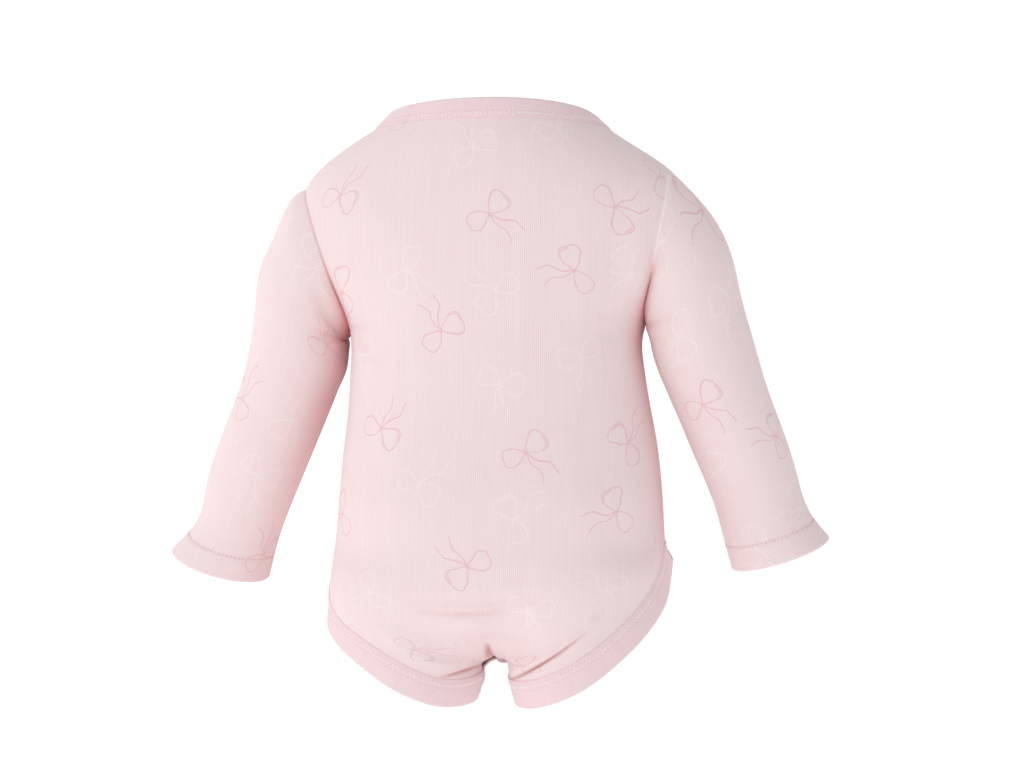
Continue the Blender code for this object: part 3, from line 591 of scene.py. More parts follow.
def shell(name, outer, facing, thick, closed, u, v, painted_shading, motifs, materials, bulge=(1, 1, 1, 1), arc=4):
    """A closed wall of cloth: the outer grid, the inner one behind it, and a rounded rim between. materials: outside and inside.
    u and v are the cloth's own coordinates in millimetres at the grid's points; motifs are rows of (u, v, turn, flip, ink).
    bulge says how far the rim rounds out at the first row, the last row, the first column and the last column."""
    rows, cols = outer.shape[:2]
    thick = np.broadcast_to(np.asarray(thick, float).reshape(-1, 1, 1), (rows, 1, 1))
    inner = outer - facing * thick
    seen = np.cross(outer[0, 1] - outer[0, 0], outer[1, 0] - outer[0, 0])
    turned = np.dot(seen, facing[0, 0]) < 0
    ii, jj = np.meshgrid(np.arange(rows - 1), np.arange(cols if closed else cols - 1), indexing="ij")
    kk = (jj + 1) % cols
    quads = np.stack([ii * cols + jj, ii * cols + kk, (ii + 1) * cols + kk, (ii + 1) * cols + jj], axis=-1).reshape(-1, 4)
    # The cloth's coordinates at each face's corners; the last column of a closed grid runs on past the first one.
    far_u = 2 * u[:, -1:] - u[:, -2:-1] if closed else None
    wide_u = np.concatenate([u, far_u], axis=1) if closed else u
    wide_v = np.concatenate([v, v[:, :1]], axis=1) if closed else v
    nn = jj + 1
    face_uv = np.stack(
        [
            np.stack([wide_u[ii, jj], wide_v[ii, jj]], axis=-1),
            np.stack([wide_u[ii, nn], wide_v[ii, nn]], axis=-1),
            np.stack([wide_u[ii + 1, nn], wide_v[ii + 1, nn]], axis=-1),
            np.stack([wide_u[ii + 1, jj], wide_v[ii + 1, jj]], axis=-1),
        ],
        axis=2,
    ).reshape(-1, 4, 2)
    points = [outer.reshape(-1, 3), inner.reshape(-1, 3)]
    # The painted shading, half as strong on the inside.
    painted_shadings = [painted_shading.ravel(), 0.5 * painted_shading.ravel()]
    count = rows * cols
    faces = [quads, quads[:, ::-1] + count]
    uvs = [face_uv, face_uv[:, ::-1]]
    slots = [np.zeros(len(quads), int), np.ones(len(quads), int)]
    # The rim.
    if closed:
        rims = [([(0, j) for j in range(cols)], True, 0), ([(rows - 1, j) for j in range(cols - 1, -1, -1)], True, 1)]
    else:
        loop = [(0, j) for j in range(cols)] + [(i, cols - 1) for i in range(1, rows)]
        loop += [(rows - 1, j) for j in range(cols - 2, -1, -1)] + [(i, 0) for i in range(rows - 2, 0, -1)]
        rims = [(loop, True, None)]
    base = 2 * count
    for loop, _, which in rims:
        index = np.array(loop)
        i, j = index[:, 0], index[:, 1]
        border, behind = outer[i, j], inner[i, j]
        run = np.roll(border, -1, axis=0) - np.roll(border, 1, axis=0)
        away = np.cross(run, facing[i, j])
        away /= np.maximum(np.linalg.norm(away, axis=1)[:, None], 1e-9)
        centre = outer[min(rows - 1, 2) if which == 0 else (rows - 3 if which == 1 else 0), j] if closed else None
        if closed:
            away *= np.sign((away * (border - centre)).sum(axis=1))[:, None]
        else:
            ci, cj = np.clip(i, 2, rows - 3), np.clip(j, 2, cols - 3)
            away *= np.where((away * (border - outer[ci, cj])).sum(axis=1) < 0, -1, 1)[:, None]
        amount = np.ones(len(loop))
        amount[i == 0], amount[i == rows - 1] = bulge[0], bulge[1]
        if not closed:
            amount[(j == 0) & (i > 0) & (i < rows - 1)] = bulge[2]
            amount[(j == cols - 1) & (i > 0) & (i < rows - 1)] = bulge[3]
        half = np.linalg.norm(border - behind, axis=1)[:, None] / 2
        ring_ids = [i * cols + j]
        for k in range(1, arc):
            angle = math.pi * k / arc
            ring = (border + behind) / 2 + (border - behind) / 2 * math.cos(angle) + away * half * amount[:, None] * math.sin(angle)
            points.append(ring)
            painted_shadings.append(painted_shading[i, j])
            ring_ids.append(base + np.arange(len(loop)))
            base += len(loop)
        ring_ids.append(count + i * cols + j)
        edge_u, edge_v = u[i, j], v[i, j]
        for k, (a, b) in enumerate(zip(ring_ids, ring_ids[1:])):
            a2, b2 = np.roll(a, -1), np.roll(b, -1)
            strip = np.stack([a2, a, b, b2], axis=1)
            strip_uv = np.stack([np.stack([np.roll(edge_u, -1), np.roll(edge_v, -1)], 1), np.stack([edge_u, edge_v], 1)] * 2, axis=1)
            strip_uv[:, 2:] = strip_uv[:, 2:][:, ::-1]
            strip_uv[:, 2:, 1] += 0.3
            faces.append(strip)
            uvs.append(strip_uv)
            slots.append(np.full(len(strip), 0 if k < arc // 2 else 1))
    points, faces, uvs, slots = np.concatenate(points), np.concatenate(faces), np.concatenate(uvs), np.concatenate(slots)
    if turned:
        faces, uvs = faces[:, ::-1], uvs[:, ::-1]
    bow = bow_corners(uvs, motifs, slots)
    return mesh_object(name, points, faces, uvs, bow, slots, materials, np.concatenate(painted_shadings))


def bow_corners(uvs, motifs, slots):
    """For each face's corners, the place in the nearest motif's own axes, in millimetres, and its ink: above 0 rose, below 0 white, 0 none."""
    bow = np.zeros(uvs.shape[:2] + (3,))
    if not len(motifs):
        return bow
    motifs = np.asarray(motifs, float)
    middle = uvs.mean(axis=1)
    best = np.full(len(uvs), 1e9)
    which = np.zeros(len(uvs), int)
    for k, (mu, mv, *_rest) in enumerate(motifs):
        d = np.hypot(middle[:, 0] - mu, middle[:, 1] - mv)
        closer = d < best
        best[closer], which[closer] = d[closer], k
    chosen = motifs[which]
    turn = np.radians(chosen[:, 2])[:, None]
    dx, dy = uvs[:, :, 0] - chosen[:, 0:1], uvs[:, :, 1] - chosen[:, 1:2]
    bow[:, :, 0] = dx * np.cos(turn) + dy * np.sin(turn)
    bow[:, :, 1] = (-dx * np.sin(turn) + dy * np.cos(turn)) * chosen[:, 3:4]
    bow[:, :, 2] = np.where((best < 24) & (slots == 0), chosen[:, 4], 0)[:, None]
    return bow


def banded(name, seam, way, out, profile, closed, materials, painted_shading=None):
    """A folded binding: a closed profile of (height, stand) swept along a seam, its first half the outside and its second half the slot that holds the panel's edge. profile may have its own row for each station."""
    profile = np.asarray(profile, float)
    if profile.ndim == 2:
        profile = np.repeat(profile[None], len(seam), axis=0)
    stations, ring = len(seam), profile.shape[1]
    points = seam[:, None] + way[:, None] * profile[:, :, :1] + out[:, None] * profile[:, :, 1:2]
    profile = profile[stations // 2]
    run = np.linalg.norm(np.diff(np.concatenate([seam, seam[:1]]) if closed else seam, axis=0), axis=1)
    u = np.concatenate([[0], np.cumsum(run)])
    around = np.concatenate([[0], np.cumsum(np.linalg.norm(np.diff(np.concatenate([profile, profile[:1]]), axis=0), axis=1))])
    ii, jj = np.meshgrid(np.arange(stations if closed else stations - 1), np.arange(ring), indexing="ij")
    i2, j2 = (ii + 1) % stations, (jj + 1) % ring
    faces = np.stack([ii * ring + jj, i2 * ring + jj, i2 * ring + j2, ii * ring + j2], axis=-1).reshape(-1, 4)
    uvs = np.stack(
        [
            np.stack([u[ii], around[jj]], -1),
            np.stack([u[ii + 1], around[jj]], -1),
            np.stack([u[ii + 1], around[jj + 1]], -1),
            np.stack([u[ii], around[jj + 1]], -1),
        ],
        axis=2,
    ).reshape(-1, 4, 2)
    points = points.reshape(-1, 3)
    a, b, c = (points[faces[0, k]] for k in (0, 1, 2))
    centre = points[:ring].mean(axis=0)
    if np.dot(np.cross(b - a, c - a), a - centre) < 0:
        faces, uvs = faces[:, ::-1], uvs[:, ::-1]
    if not closed:
        # Each end is closed by strips between the outer and the inner leg of the profile.
        caps, cap_uvs = [], []
        for start in (0, (stations - 1) * ring):
            for k in range(ring // 2 - 1):
                quad = [start + k, start + k + 1, start + ring - 2 - k, start + ring - 1 - k]
                corners = points[quad]
                facing = np.cross(corners[1] - corners[0], corners[2] - corners[0])
                other = points[(ring if start == 0 else (stations - 2) * ring) : (2 * ring if start == 0 else (stations - 1) * ring)].mean(axis=0)
                if np.dot(facing, corners.mean(axis=0) - other) < 0:
                    quad = quad[::-1]
                caps.append(quad)
                cap_uvs.append([(u[-1] if start else 0.0, around[q - start]) for q in quad])
        faces, uvs = np.concatenate([faces, np.array(caps)]), np.concatenate([uvs, np.array(cap_uvs)])
    # The section's painted shade, the same at every station.
    shade = np.tile(painted_shading if painted_shading is not None else np.zeros(ring), stations)
    return mesh_object(name, points, faces, uvs, None, None, materials, shade)


# ---------------------------------------------------------------------------
# Materials
# ---------------------------------------------------------------------------


class Sum:
    """A number in a node tree that takes part in sums."""

    def __init__(self, tree, socket):
        self.tree, self.socket = tree, socket

    def op(self, kind, other=None, third=None, clamp=False):
        node = self.tree.nodes.new("ShaderNodeMath")
        node.operation, node.use_clamp = kind, clamp
        for slot, value in zip(node.inputs, (self, other, third)):
            if isinstance(value, Sum):
                self.tree.links.new(value.socket, slot)
            elif value is not None:
                slot.default_value = value
        return Sum(self.tree, node.outputs[0])

    def __add__(self, other):
        return self.op("ADD", other)

    def __sub__(self, other):
        return self.op("SUBTRACT", other)

    def __mul__(self, other):
        return self.op("MULTIPLY", other)

    def __truediv__(self, other):
        return self.op("DIVIDE", other)

    __radd__, __rmul__ = __add__, __mul__

    def abs(self):
        return self.op("ABSOLUTE")

    def sin(self):
        return self.op("SINE")

    def cos(self):
        return self.op("COSINE")

    def min(self, other):
        return self.op("MINIMUM", other)

    def max(self, other):
        return self.op("MAXIMUM", other)

    def fade(self, low, high):
        """0 at low, 1 at high, smooth between; low may be the larger."""
        node = self.tree.nodes.new("ShaderNodeMapRange")
        node.interpolation_type = "SMOOTHSTEP"
        self.tree.links.new(self.socket, node.inputs["Value"])
        node.inputs["From Min"].default_value, node.inputs["From Max"].default_value = low, high
        return Sum(self.tree, node.outputs["Result"])


def value_of(tree, socket):
    return Sum(tree, socket)


def split(tree, vector):
    node = tree.nodes.new("ShaderNodeSeparateXYZ")
    tree.links.new(vector, node.inputs[0])
    return [Sum(tree, out) for out in node.outputs]


def joined(tree, x, y, z=0.0):
    node = tree.nodes.new("ShaderNodeCombineXYZ")
    for slot, value in zip(node.inputs, (x, y, z)):
        if isinstance(value, Sum):
            tree.links.new(value.socket, slot)
        else:
            slot.default_value = value
    return node.outputs[0]


def noise(tree, vector, scale, detail=2.0, rough=0.5):
    node = tree.nodes.new("ShaderNodeTexNoise")
    node.inputs["Scale"].default_value = scale
    node.inputs["Detail"].default_value = detail
    node.inputs["Roughness"].default_value = rough
    tree.links.new(vector, node.inputs["Vector"])
    return Sum(tree, node.outputs["Fac"])


def mixed(tree, share, first, second):
    """A colour between first and second, each a colour or a socket."""
    node = tree.nodes.new("ShaderNodeMix")
    node.data_type = "RGBA"
    tree.links.new(share.socket, node.inputs["Factor"])
    for slot, value in ((node.inputs[6], first), (node.inputs[7], second)):
        if isinstance(value, tuple):
            slot.default_value = (*value, 1.0)
        else:
            tree.links.new(value, slot)
    return node.outputs[2]


def bow_ink(tree, x, y, style):
    """How much ink a ribbon bow's outline leaves at (x, y) millimetres from its knot. x runs between the two loops, the tails run the other way. style, from 0 to 1, varies its lines."""
    wob = noise(tree, joined(tree, x, y, style * 7.0), 0.16, 1.0)
    wob2 = noise(tree, joined(tree, y, x, style * 5.0 + 3.0), 0.16, 1.0)
    x = x + (wob - 0.5) * 2.6
    y = y + (wob2 - 0.5) * 2.6
    lines = []

    def loop(turn, length, half, pinch, gap):
        """An egg with its narrow end at the knot."""
        along = x * (math.cos(turn) * 2 / length) + y * (math.sin(turn) * 2 / length) - 1.0
        aside = y * math.cos(turn) - x * math.sin(turn)
        swell = (along * pinch + 1.0).max(0.12)
        across = aside / (swell * half)
        square = across * across
        inside = along * along + square - 1.0
        slope_x = (along - square * pinch / swell) * (4 / length)
        slope_y = across / swell * (2 / half)
        slope = (slope_x * slope_x + slope_y * slope_y).op("SQRT").max(0.08)
        line = (inside / slope).abs()
        lines.append(line)
        if gap:
            # The ribbon's second line, inside one side of the loop.
            second = ((inside + gap) / slope).abs() + (aside * 0.5).fade(0.2, -0.9) * 1.2 + along.fade(0.3, -0.4) * 1.2
            lines.append(second)

    loop(1.32, 13.2, 5.1, 0.72, 0.26)
    loop(-1.38, 12.6, 4.7, 0.60, 0.0)
    # The knot.
    lines.append(((x * x + y * y * 1.5).op("SQRT") - 0.8).abs())

    def tail(turn, length, sway, waves, twin):
        along = x * math.cos(turn) + y * math.sin(turn)
        aside = y * math.cos(turn) - x * math.sin(turn)
        share = (along / length).op("MULTIPLY", 1.0, clamp=True)
        bend = (share * (waves * 2 * math.pi) + style * 0.7).sin() * (share.op("SQRT") * sway)
        past = (along - length).max(along * -1.0).max(0.0)
        lines.append((aside - bend).abs() * 0.92 + past * 2.5)
        if twin:
            hump = (share * math.pi).sin()
            lines.append((aside - bend - hump * twin).abs() * 0.92 + past * 2.5 + share.fade(0.75, 0.95) * 1.0)

    tail(math.pi - 0.52, 20.0, 1.9, 1.05, 0.0)
    tail(math.pi - 0.02, 19.0, 1.8, 1.0, 0.0)
    nearest = lines[0]
    for line in lines[1:]:
        nearest = nearest.min(line)
    return nearest.fade(0.54, 0.16)


def knit_group():
    """Stocking-stitch knit from the cloth's own coordinates: its height, how deep the grooves between the wales are, and streaks along them."""
    tree = bpy.data.node_groups.new("knit", "ShaderNodeTree")
    tree.interface.new_socket("UV", in_out="INPUT", socket_type="NodeSocketVector")
    for name in ("Height", "Groove", "Streak"):
        tree.interface.new_socket(name, in_out="OUTPUT", socket_type="NodeSocketFloat")
    given, result = tree.nodes.new("NodeGroupInput"), tree.nodes.new("NodeGroupOutput")
    u, v, _ = split(tree, given.outputs[0])
    drift = noise(tree, joined(tree, u * 60.0, v * 25.0), 1.0, 2.0)
    wale = u * (1000.0 / 1.04) + drift * 1.1
    inside = (wale.op("FRACT") - 0.5).abs() * 2.0
    course = v * (1000.0 / 0.78) + inside * 0.62
    stitch = (course * (2 * math.pi)).cos() * 0.5 + 0.5
    round_top = (inside * inside * -1.0 + 1.0).op("POWER", 0.6)
    height = round_top * (stitch * 0.35 + 0.65)
    groove = inside.fade(0.40, 0.95)
    streak_a = noise(tree, joined(tree, wale * 0.61, v * 22.0), 1.0, 2.0, 0.6)
    streak_b = noise(tree, joined(tree, wale * 0.17, v * 6.0, 4.0), 1.0, 2.0, 0.5)
    streak = (streak_a - 0.5) * 0.65 + (streak_b - 0.5) * 0.5
    for slot, value in zip(result.inputs, (height, groove, streak)):
        tree.links.new(value.socket, slot)
    return tree


def cloth_material(name, colour, deep, kind):
    """Knit cotton. kind is printed, plain, or rib."""
    made = bpy.data.materials.new(name)
    made.use_nodes = True
    tree = made.node_tree
    shader = tree.nodes["Principled BSDF"]
    shader.inputs["Roughness"].default_value = 0.88
    shader.inputs["Specular IOR Level"].default_value = 0.22
    shader.inputs["Sheen Weight"].default_value = 0.22
    shader.inputs["Sheen Roughness"].default_value = 0.45
    shader.inputs["Sheen Tint"].default_value = (1.0, 0.93, 0.94, 1.0)
    place = tree.nodes.new("ShaderNodeUVMap")
    place.uv_map = "cloth"
    knit = tree.nodes.new("ShaderNodeGroup")
    knit.node_tree = KNIT
    tree.links.new(place.outputs[0], knit.inputs[0])
    height, groove, streak = (Sum(tree, out) for out in knit.outputs)
    u, v, _ = split(tree, place.outputs[0])
    cloud = noise(tree, joined(tree, u, v), 38.0, 3.0, 0.55)
    # Darker in the grooves between the wales, as painted shade of the knit's relief, and a little lighter elsewhere;
    # the streaks and the cloud are the yarn's random tone.
    shade = groove * 0.54 + streak * -0.50 + (cloud - 0.5) * 0.14 - 0.15
    base = mixed(tree, shade.op("ADD", 0.0, clamp=True), colour, deep)
    light = (shade * -1.0).op("ADD", 0.0, clamp=True)
    base = mixed(tree, light, base, tuple(min(1.0, c * 1.10 + 0.02) for c in colour))
    if kind == "printed":
        held = tree.nodes.new("ShaderNodeAttribute")
        held.attribute_name = "bow"
        x, y, ink = split(tree, held.outputs["Vector"])
        there = ink.abs().fade(0.4, 0.6)
        style = ink.abs() - 1.0
        line = bow_ink(tree, x, y, style) * there
        worn = noise(tree, joined(tree, u, v, 2.0), 900.0, 2.0, 0.6).fade(0.25, 0.6)
        line = line * (worn * 0.35 + 0.65) * (groove * -0.35 + 1.0)
        rose = line * ink.fade(-0.1, 0.1) * 0.58
        white = line * (ink * -1.0).fade(-0.1, 0.1) * 0.34
        base = mixed(tree, rose, base, (0.78, 0.38, 0.43))
        base = mixed(tree, white, base, (0.99, 0.95, 0.93))
    # Painted shading from the point attribute: above 0 it is painted shade, dark red, in creases, in seams, round the
    # underarms and on the cloth turned from the light; below 0 it is a pale painted highlight on the right shoulder's
    # raised seam edge.
    held = tree.nodes.new("ShaderNodeAttribute")
    held.attribute_name = "painted_shading"
    painted_shading = Sum(tree, held.outputs["Fac"])
    base = mixed(tree, painted_shading.op("MULTIPLY", 1.0, clamp=True), base, (0.66, 0.26, 0.26))
    base = mixed(tree, painted_shading.op("MULTIPLY", -1.0, clamp=True), base, (0.97, 0.89, 0.88))
    tree.links.new(base, shader.inputs["Base Color"])
    fuzz = noise(tree, joined(tree, u, v, 1.0), 1400.0, 2.0, 0.6)
    bump = tree.nodes.new("ShaderNodeBump")
    bump.inputs["Strength"].default_value = 0.6
    bump.inputs["Distance"].default_value = 0.00022 if kind != "rib" else 0.0003
    tree.links.new((height + fuzz * 0.25).socket, bump.inputs["Height"])
    tree.links.new(bump.outputs[0], shader.inputs["Normal"])
    return made


def thread_material(name, low, high):
    made = bpy.data.materials.new(name)
    made.use_nodes = True
    tree = made.node_tree
    shader = tree.nodes["Principled BSDF"]
    shader.inputs["Roughness"].default_value = 0.6
    shader.inputs["Sheen Weight"].default_value = 0.3
    where = tree.nodes.new("ShaderNodeTexCoord")
    twist = noise(tree, where.outputs["Object"], 900.0, 2.0)
    base = mixed(tree, twist.fade(0.3, 0.7), low, high)
    tree.links.new(base, shader.inputs["Base Color"])
    return made


def snap_material():
    made = bpy.data.materials.new("snap_cap")
    made.use_nodes = True
    tree = made.node_tree
    shader = tree.nodes["Principled BSDF"]
    where = tree.nodes.new("ShaderNodeTexCoord")
    fine = noise(tree, where.outputs["Object"], 260.0, 3.0)
    base = mixed(tree, fine, (0.82, 0.66, 0.67), (0.90, 0.76, 0.77))
    tree.links.new(base, shader.inputs["Base Color"])
    tree.links.new((fine * 0.12 + 0.24).socket, shader.inputs["Roughness"])
    return made


KNIT = knit_group()
PINK, DEEP = (0.910, 0.762, 0.765), (0.82, 0.55, 0.57)
PRINTED = cloth_material("printed_knit", PINK, DEEP, "printed")
INSIDE = cloth_material("knit_inside", (0.88, 0.70, 0.71), DEEP, "plain")
BAND = cloth_material("rib_knit", (0.900, 0.715, 0.735), (0.80, 0.53, 0.57), "rib")
THREAD = thread_material("thread", (0.90, 0.73, 0.75), (0.96, 0.86, 0.86))
THREAD_DEEP = thread_material("thread_deep", (0.78, 0.50, 0.54), (0.87, 0.66, 0.68))
SNAP = snap_material()

# ---------------------------------------------------------------------------
# Print. For the print's own view of each piece: millimetres right of the axis and up, the direction between the loops in degrees, the side of the tails, and ink with style (rose, or white where less than 0).
# ---------------------------------------------------------------------------

BACK_PRINT = (
    (-86, -24, 266, 1, 1.2),
    (-6, -35, 128, -1, 1.5),
    (62, -30, 221, 1, 1.8),
    (40, -66, 29, 1, 1.3),
    (-32, -98, 312, 1, 1.6),
    (-18, -225, 305, -1, 1.9),
    (63, -195, 35, 1, 1.2),
    (-64, -151, 243, 1, 1.7),
    (14, -164, 123, -1, 1.4),
    (69, -159, 222, -1, 1.1),
    (-85, -197, 20, 1, 1.5),
    (13, -279, -40, 1, 1.6),
    (-52, 18, 315, 1, 1.4),
    (87, -14, 200, 1, 1.2),
    (-46, -270, 255, 1, 1.3),
    (-85, -77, 10, 1, 1.8),
    (32, 11, 150, 1, -1.2),
    (-14, 2, -60, 1, -1.5),
    (-2, -76, -50, -1, -1.8),
    (44, -112, 120, 1, -1.3),
    (0, -127, 70, -1, -1.6),
    (-76, -109, 100, 1, -1.1),
    (-70, -239, 30, -1, -1.4),
    (16, -249, 48, -1, -1.7),
    (58, -238, -30, 1, -1.2),
    (72, -66, 45, 1, -1.9),
    (-50, -65, 160, 1, -1.3),
    (-43, -181, -120, 1, -1.5),
    (8, -200, 200, -1, -1.2),
)
SLEEVE_PRINT = {
    "left": (
        (-93, -105, 290, 1, 1.2),
        (-139, -134, 200, -1, 1.6),
        (-128, -218, 290, 1, 1.4),
        (-98, -64, 30, 1, -1.3),
        (-131, -175, 45, -1, -1.7),
        (-140, -97, 250, 1, -1.5),
        (-112, -146, 140, 1, -1.2),
    ),
    "right": (
        (109, -32, 60, 1, 1.3),
        (109, -137, 131, -1, 1.7),
        (149, -154, 30, 1, 1.2),
        (88, -50, -30, 1, -1.4),
        (97, -102, 30, -1, -1.6),
        (116, -175, -10, 1, -1.2),
        (123, -79, 110, 1, -1.8),
        (139, -215, 160, 1, -1.3),
        (162, -193, 60, 1, -1.5),
    ),
}
# Of one repeat, 139 by 128 mm: place, turn, ink and style.
REPEAT_WIDE, REPEAT_HIGH = 139.0, 128.0
REPEAT = (
    (10.0, 12.0, 20, 1.2),
    (46.0, 78.0, 150, 1.6),
    (84.0, 26.0, -30, 1.8),
    (118.0, 92.0, 60, 1.3),
    (44.0, 36.0, -50, -1.4),
    (80.0, 62.0, 10, -1.8),
    (12.0, 60.0, 200, -1.2),
    (92.0, 112.0, 90, -1.6),
)

TOWARD = np.array((-math.sin(math.radians(10)), math.cos(math.radians(10)), 0.0))
ACROSS = np.array((-math.cos(math.radians(10)), -math.sin(math.radians(10)), 0.0))


def charted(rows, grid, facing, u, v):
    """Motif rows (u, v, turn, flip, ink) for places given as seen from the print's view, 1.6 m away."""
    scale = 1600.0 / (1600.0 - grid @ TOWARD)
    a, z = (grid @ ACROSS) * scale, (grid[:, :, 2] + 126.4) * scale - 126.4
    ahead = (facing @ TOWARD) > 0.02
    out = []
    for across, up, turn, flip, ink in rows:
        d = np.hypot(a - across, z - up) + np.where(ahead, 0, 1e3)
        i, j = np.unravel_index(np.argmin(d), d.shape)
        if d[i, j] > 12:
            continue
        # The view's directions of u and v at that place.
        n, m = (min(i + 1, len(a) - 1), max(i - 1, 0)), (min(j + 1, a.shape[1] - 1), max(j - 1, 0))
        du, dv = u[i, m[0]] - u[i, m[1]], v[n[0], j] - v[n[1], j]
        e_u = np.array((a[i, m[0]] - a[i, m[1]], z[i, m[0]] - z[i, m[1]])) / du
        e_v = np.array((a[n[0], j] - a[n[1], j], z[n[0], j] - z[n[1], j])) / dv
        axes = np.stack([e_u / np.linalg.norm(e_u), e_v / np.linalg.norm(e_v)], axis=1)
        way = np.linalg.solve(axes, (math.cos(math.radians(turn)), math.sin(math.radians(turn))))
        out.append((u[i, j], v[i, j], math.degrees(math.atan2(way[1], way[0])), flip * np.sign(np.linalg.det(axes)), ink))
    return out


def repeated(u, v, shift_u, shift_v, avoid=(), facing=None):
    """Motif rows that fill the cloth with the repeat, apart from what is near others, or in the charted view."""
    out = []
    low_u, high_u, low_v, high_v = u.min() - 20, u.max() + 20, v.min() - 20, v.max() + 20
    for column_at in range(int(low_u // REPEAT_WIDE) - 1, int(high_u // REPEAT_WIDE) + 2):
        for row_at in range(int(low_v // REPEAT_HIGH) - 1, int(high_v // REPEAT_HIGH) + 2):
            for mu, mv, turn, ink in REPEAT:
                pu = mu + column_at * REPEAT_WIDE + row_at * 9.0 + shift_u
                pv = mv + row_at * REPEAT_HIGH + shift_v
                if any(math.hypot(pu - a[0], pv - a[1]) < 30 for a in avoid):
                    continue
                if facing is not None:
                    row_here = int(np.argmin(np.abs(v[:, 0] - pv)))
                    if not 0 <= pu <= u[row_here, -1] or not -12 < pv < v[:, 0].max() + 12:
                        continue
                    d = np.hypot(u - pu, v - pv)
                    i, j = np.unravel_index(np.argmin(d), d.shape)
                    if facing[i, j] @ TOWARD > 0.15:
                        continue
                out.append((pu, pv, turn + 37 * column_at, 1, ink))
    return out


# ---------------------------------------------------------------------------
# The panels
# ---------------------------------------------------------------------------

ROWS_TO = (20, 50, 36, 24, 140)  # rows of the shoulder, the armhole, the side, down to the leg opening, and the seat
UPPER = [part + i / count for part, count in enumerate(ROWS_TO[:3]) for i in range(count)]
LOWER = np.concatenate([np.linspace(0, 1, ROWS_TO[3] + 1)[:-1], np.linspace(1, 2, ROWS_TO[4])])
HALF = np.concatenate([np.linspace(0, 0.972, 77), [0.979, 0.985, 0.99, 0.994, 0.997, 1.0]])
LEVEL_ROW = len(UPPER)  # the hip row

seam_lines = {}
for side_name, side in (("left", 1), ("right", -1)):
    seam_lines[side_name] = np.array([armhole(side, a)[0] for a in np.linspace(0, 2 * math.pi, 1200)])
UNDERARM = {"left": (81.0, 0.0, -99.0), "right": (-77.0, 0.0, -93.0)}


def valley(distance, wide, deep):
    return deep * np.clip(1 - distance / wide, 0, 1) ** 2.0


def dense_line(line, parts=8):
    return np.concatenate([line[:-1] + (line[1:] - line[:-1]) * k / parts for k in range(parts)] + [line[-1:]])


def armhole_edge(grid, away, name, face_y):
    """Depth and painted shading beside an armhole seam: a thin groove with painted shade, dark red, in it, wider
    painted shade along its low part by the underarm, and on the right shoulder's back a raised edge with a pale painted
    highlight.
    """
    low = eased((UNDERARM[name][2] + 46 - grid[:, :, 2]) / 34.0)
    pale = (1 - low) * eased(face_y / 12.0) if name == "right" else np.zeros(low.shape)
    groove = valley(away, 1.2, 0.10 + 0.15 * low)
    ridge = -0.55 * np.exp(-((away / 0.8) ** 2)) * pale
    depth = groove * (1 - pale) + ridge
    painted_shading = np.exp(-((away / 0.9) ** 2)) * (0.26 + 0.2 * low) * (1 - pale) - 0.95 * np.exp(-((away / 0.75) ** 2)) * pale
    painted_shading += 0.62 * np.exp(-((away / 3.2) ** 1.5)) * low
    return depth, painted_shading


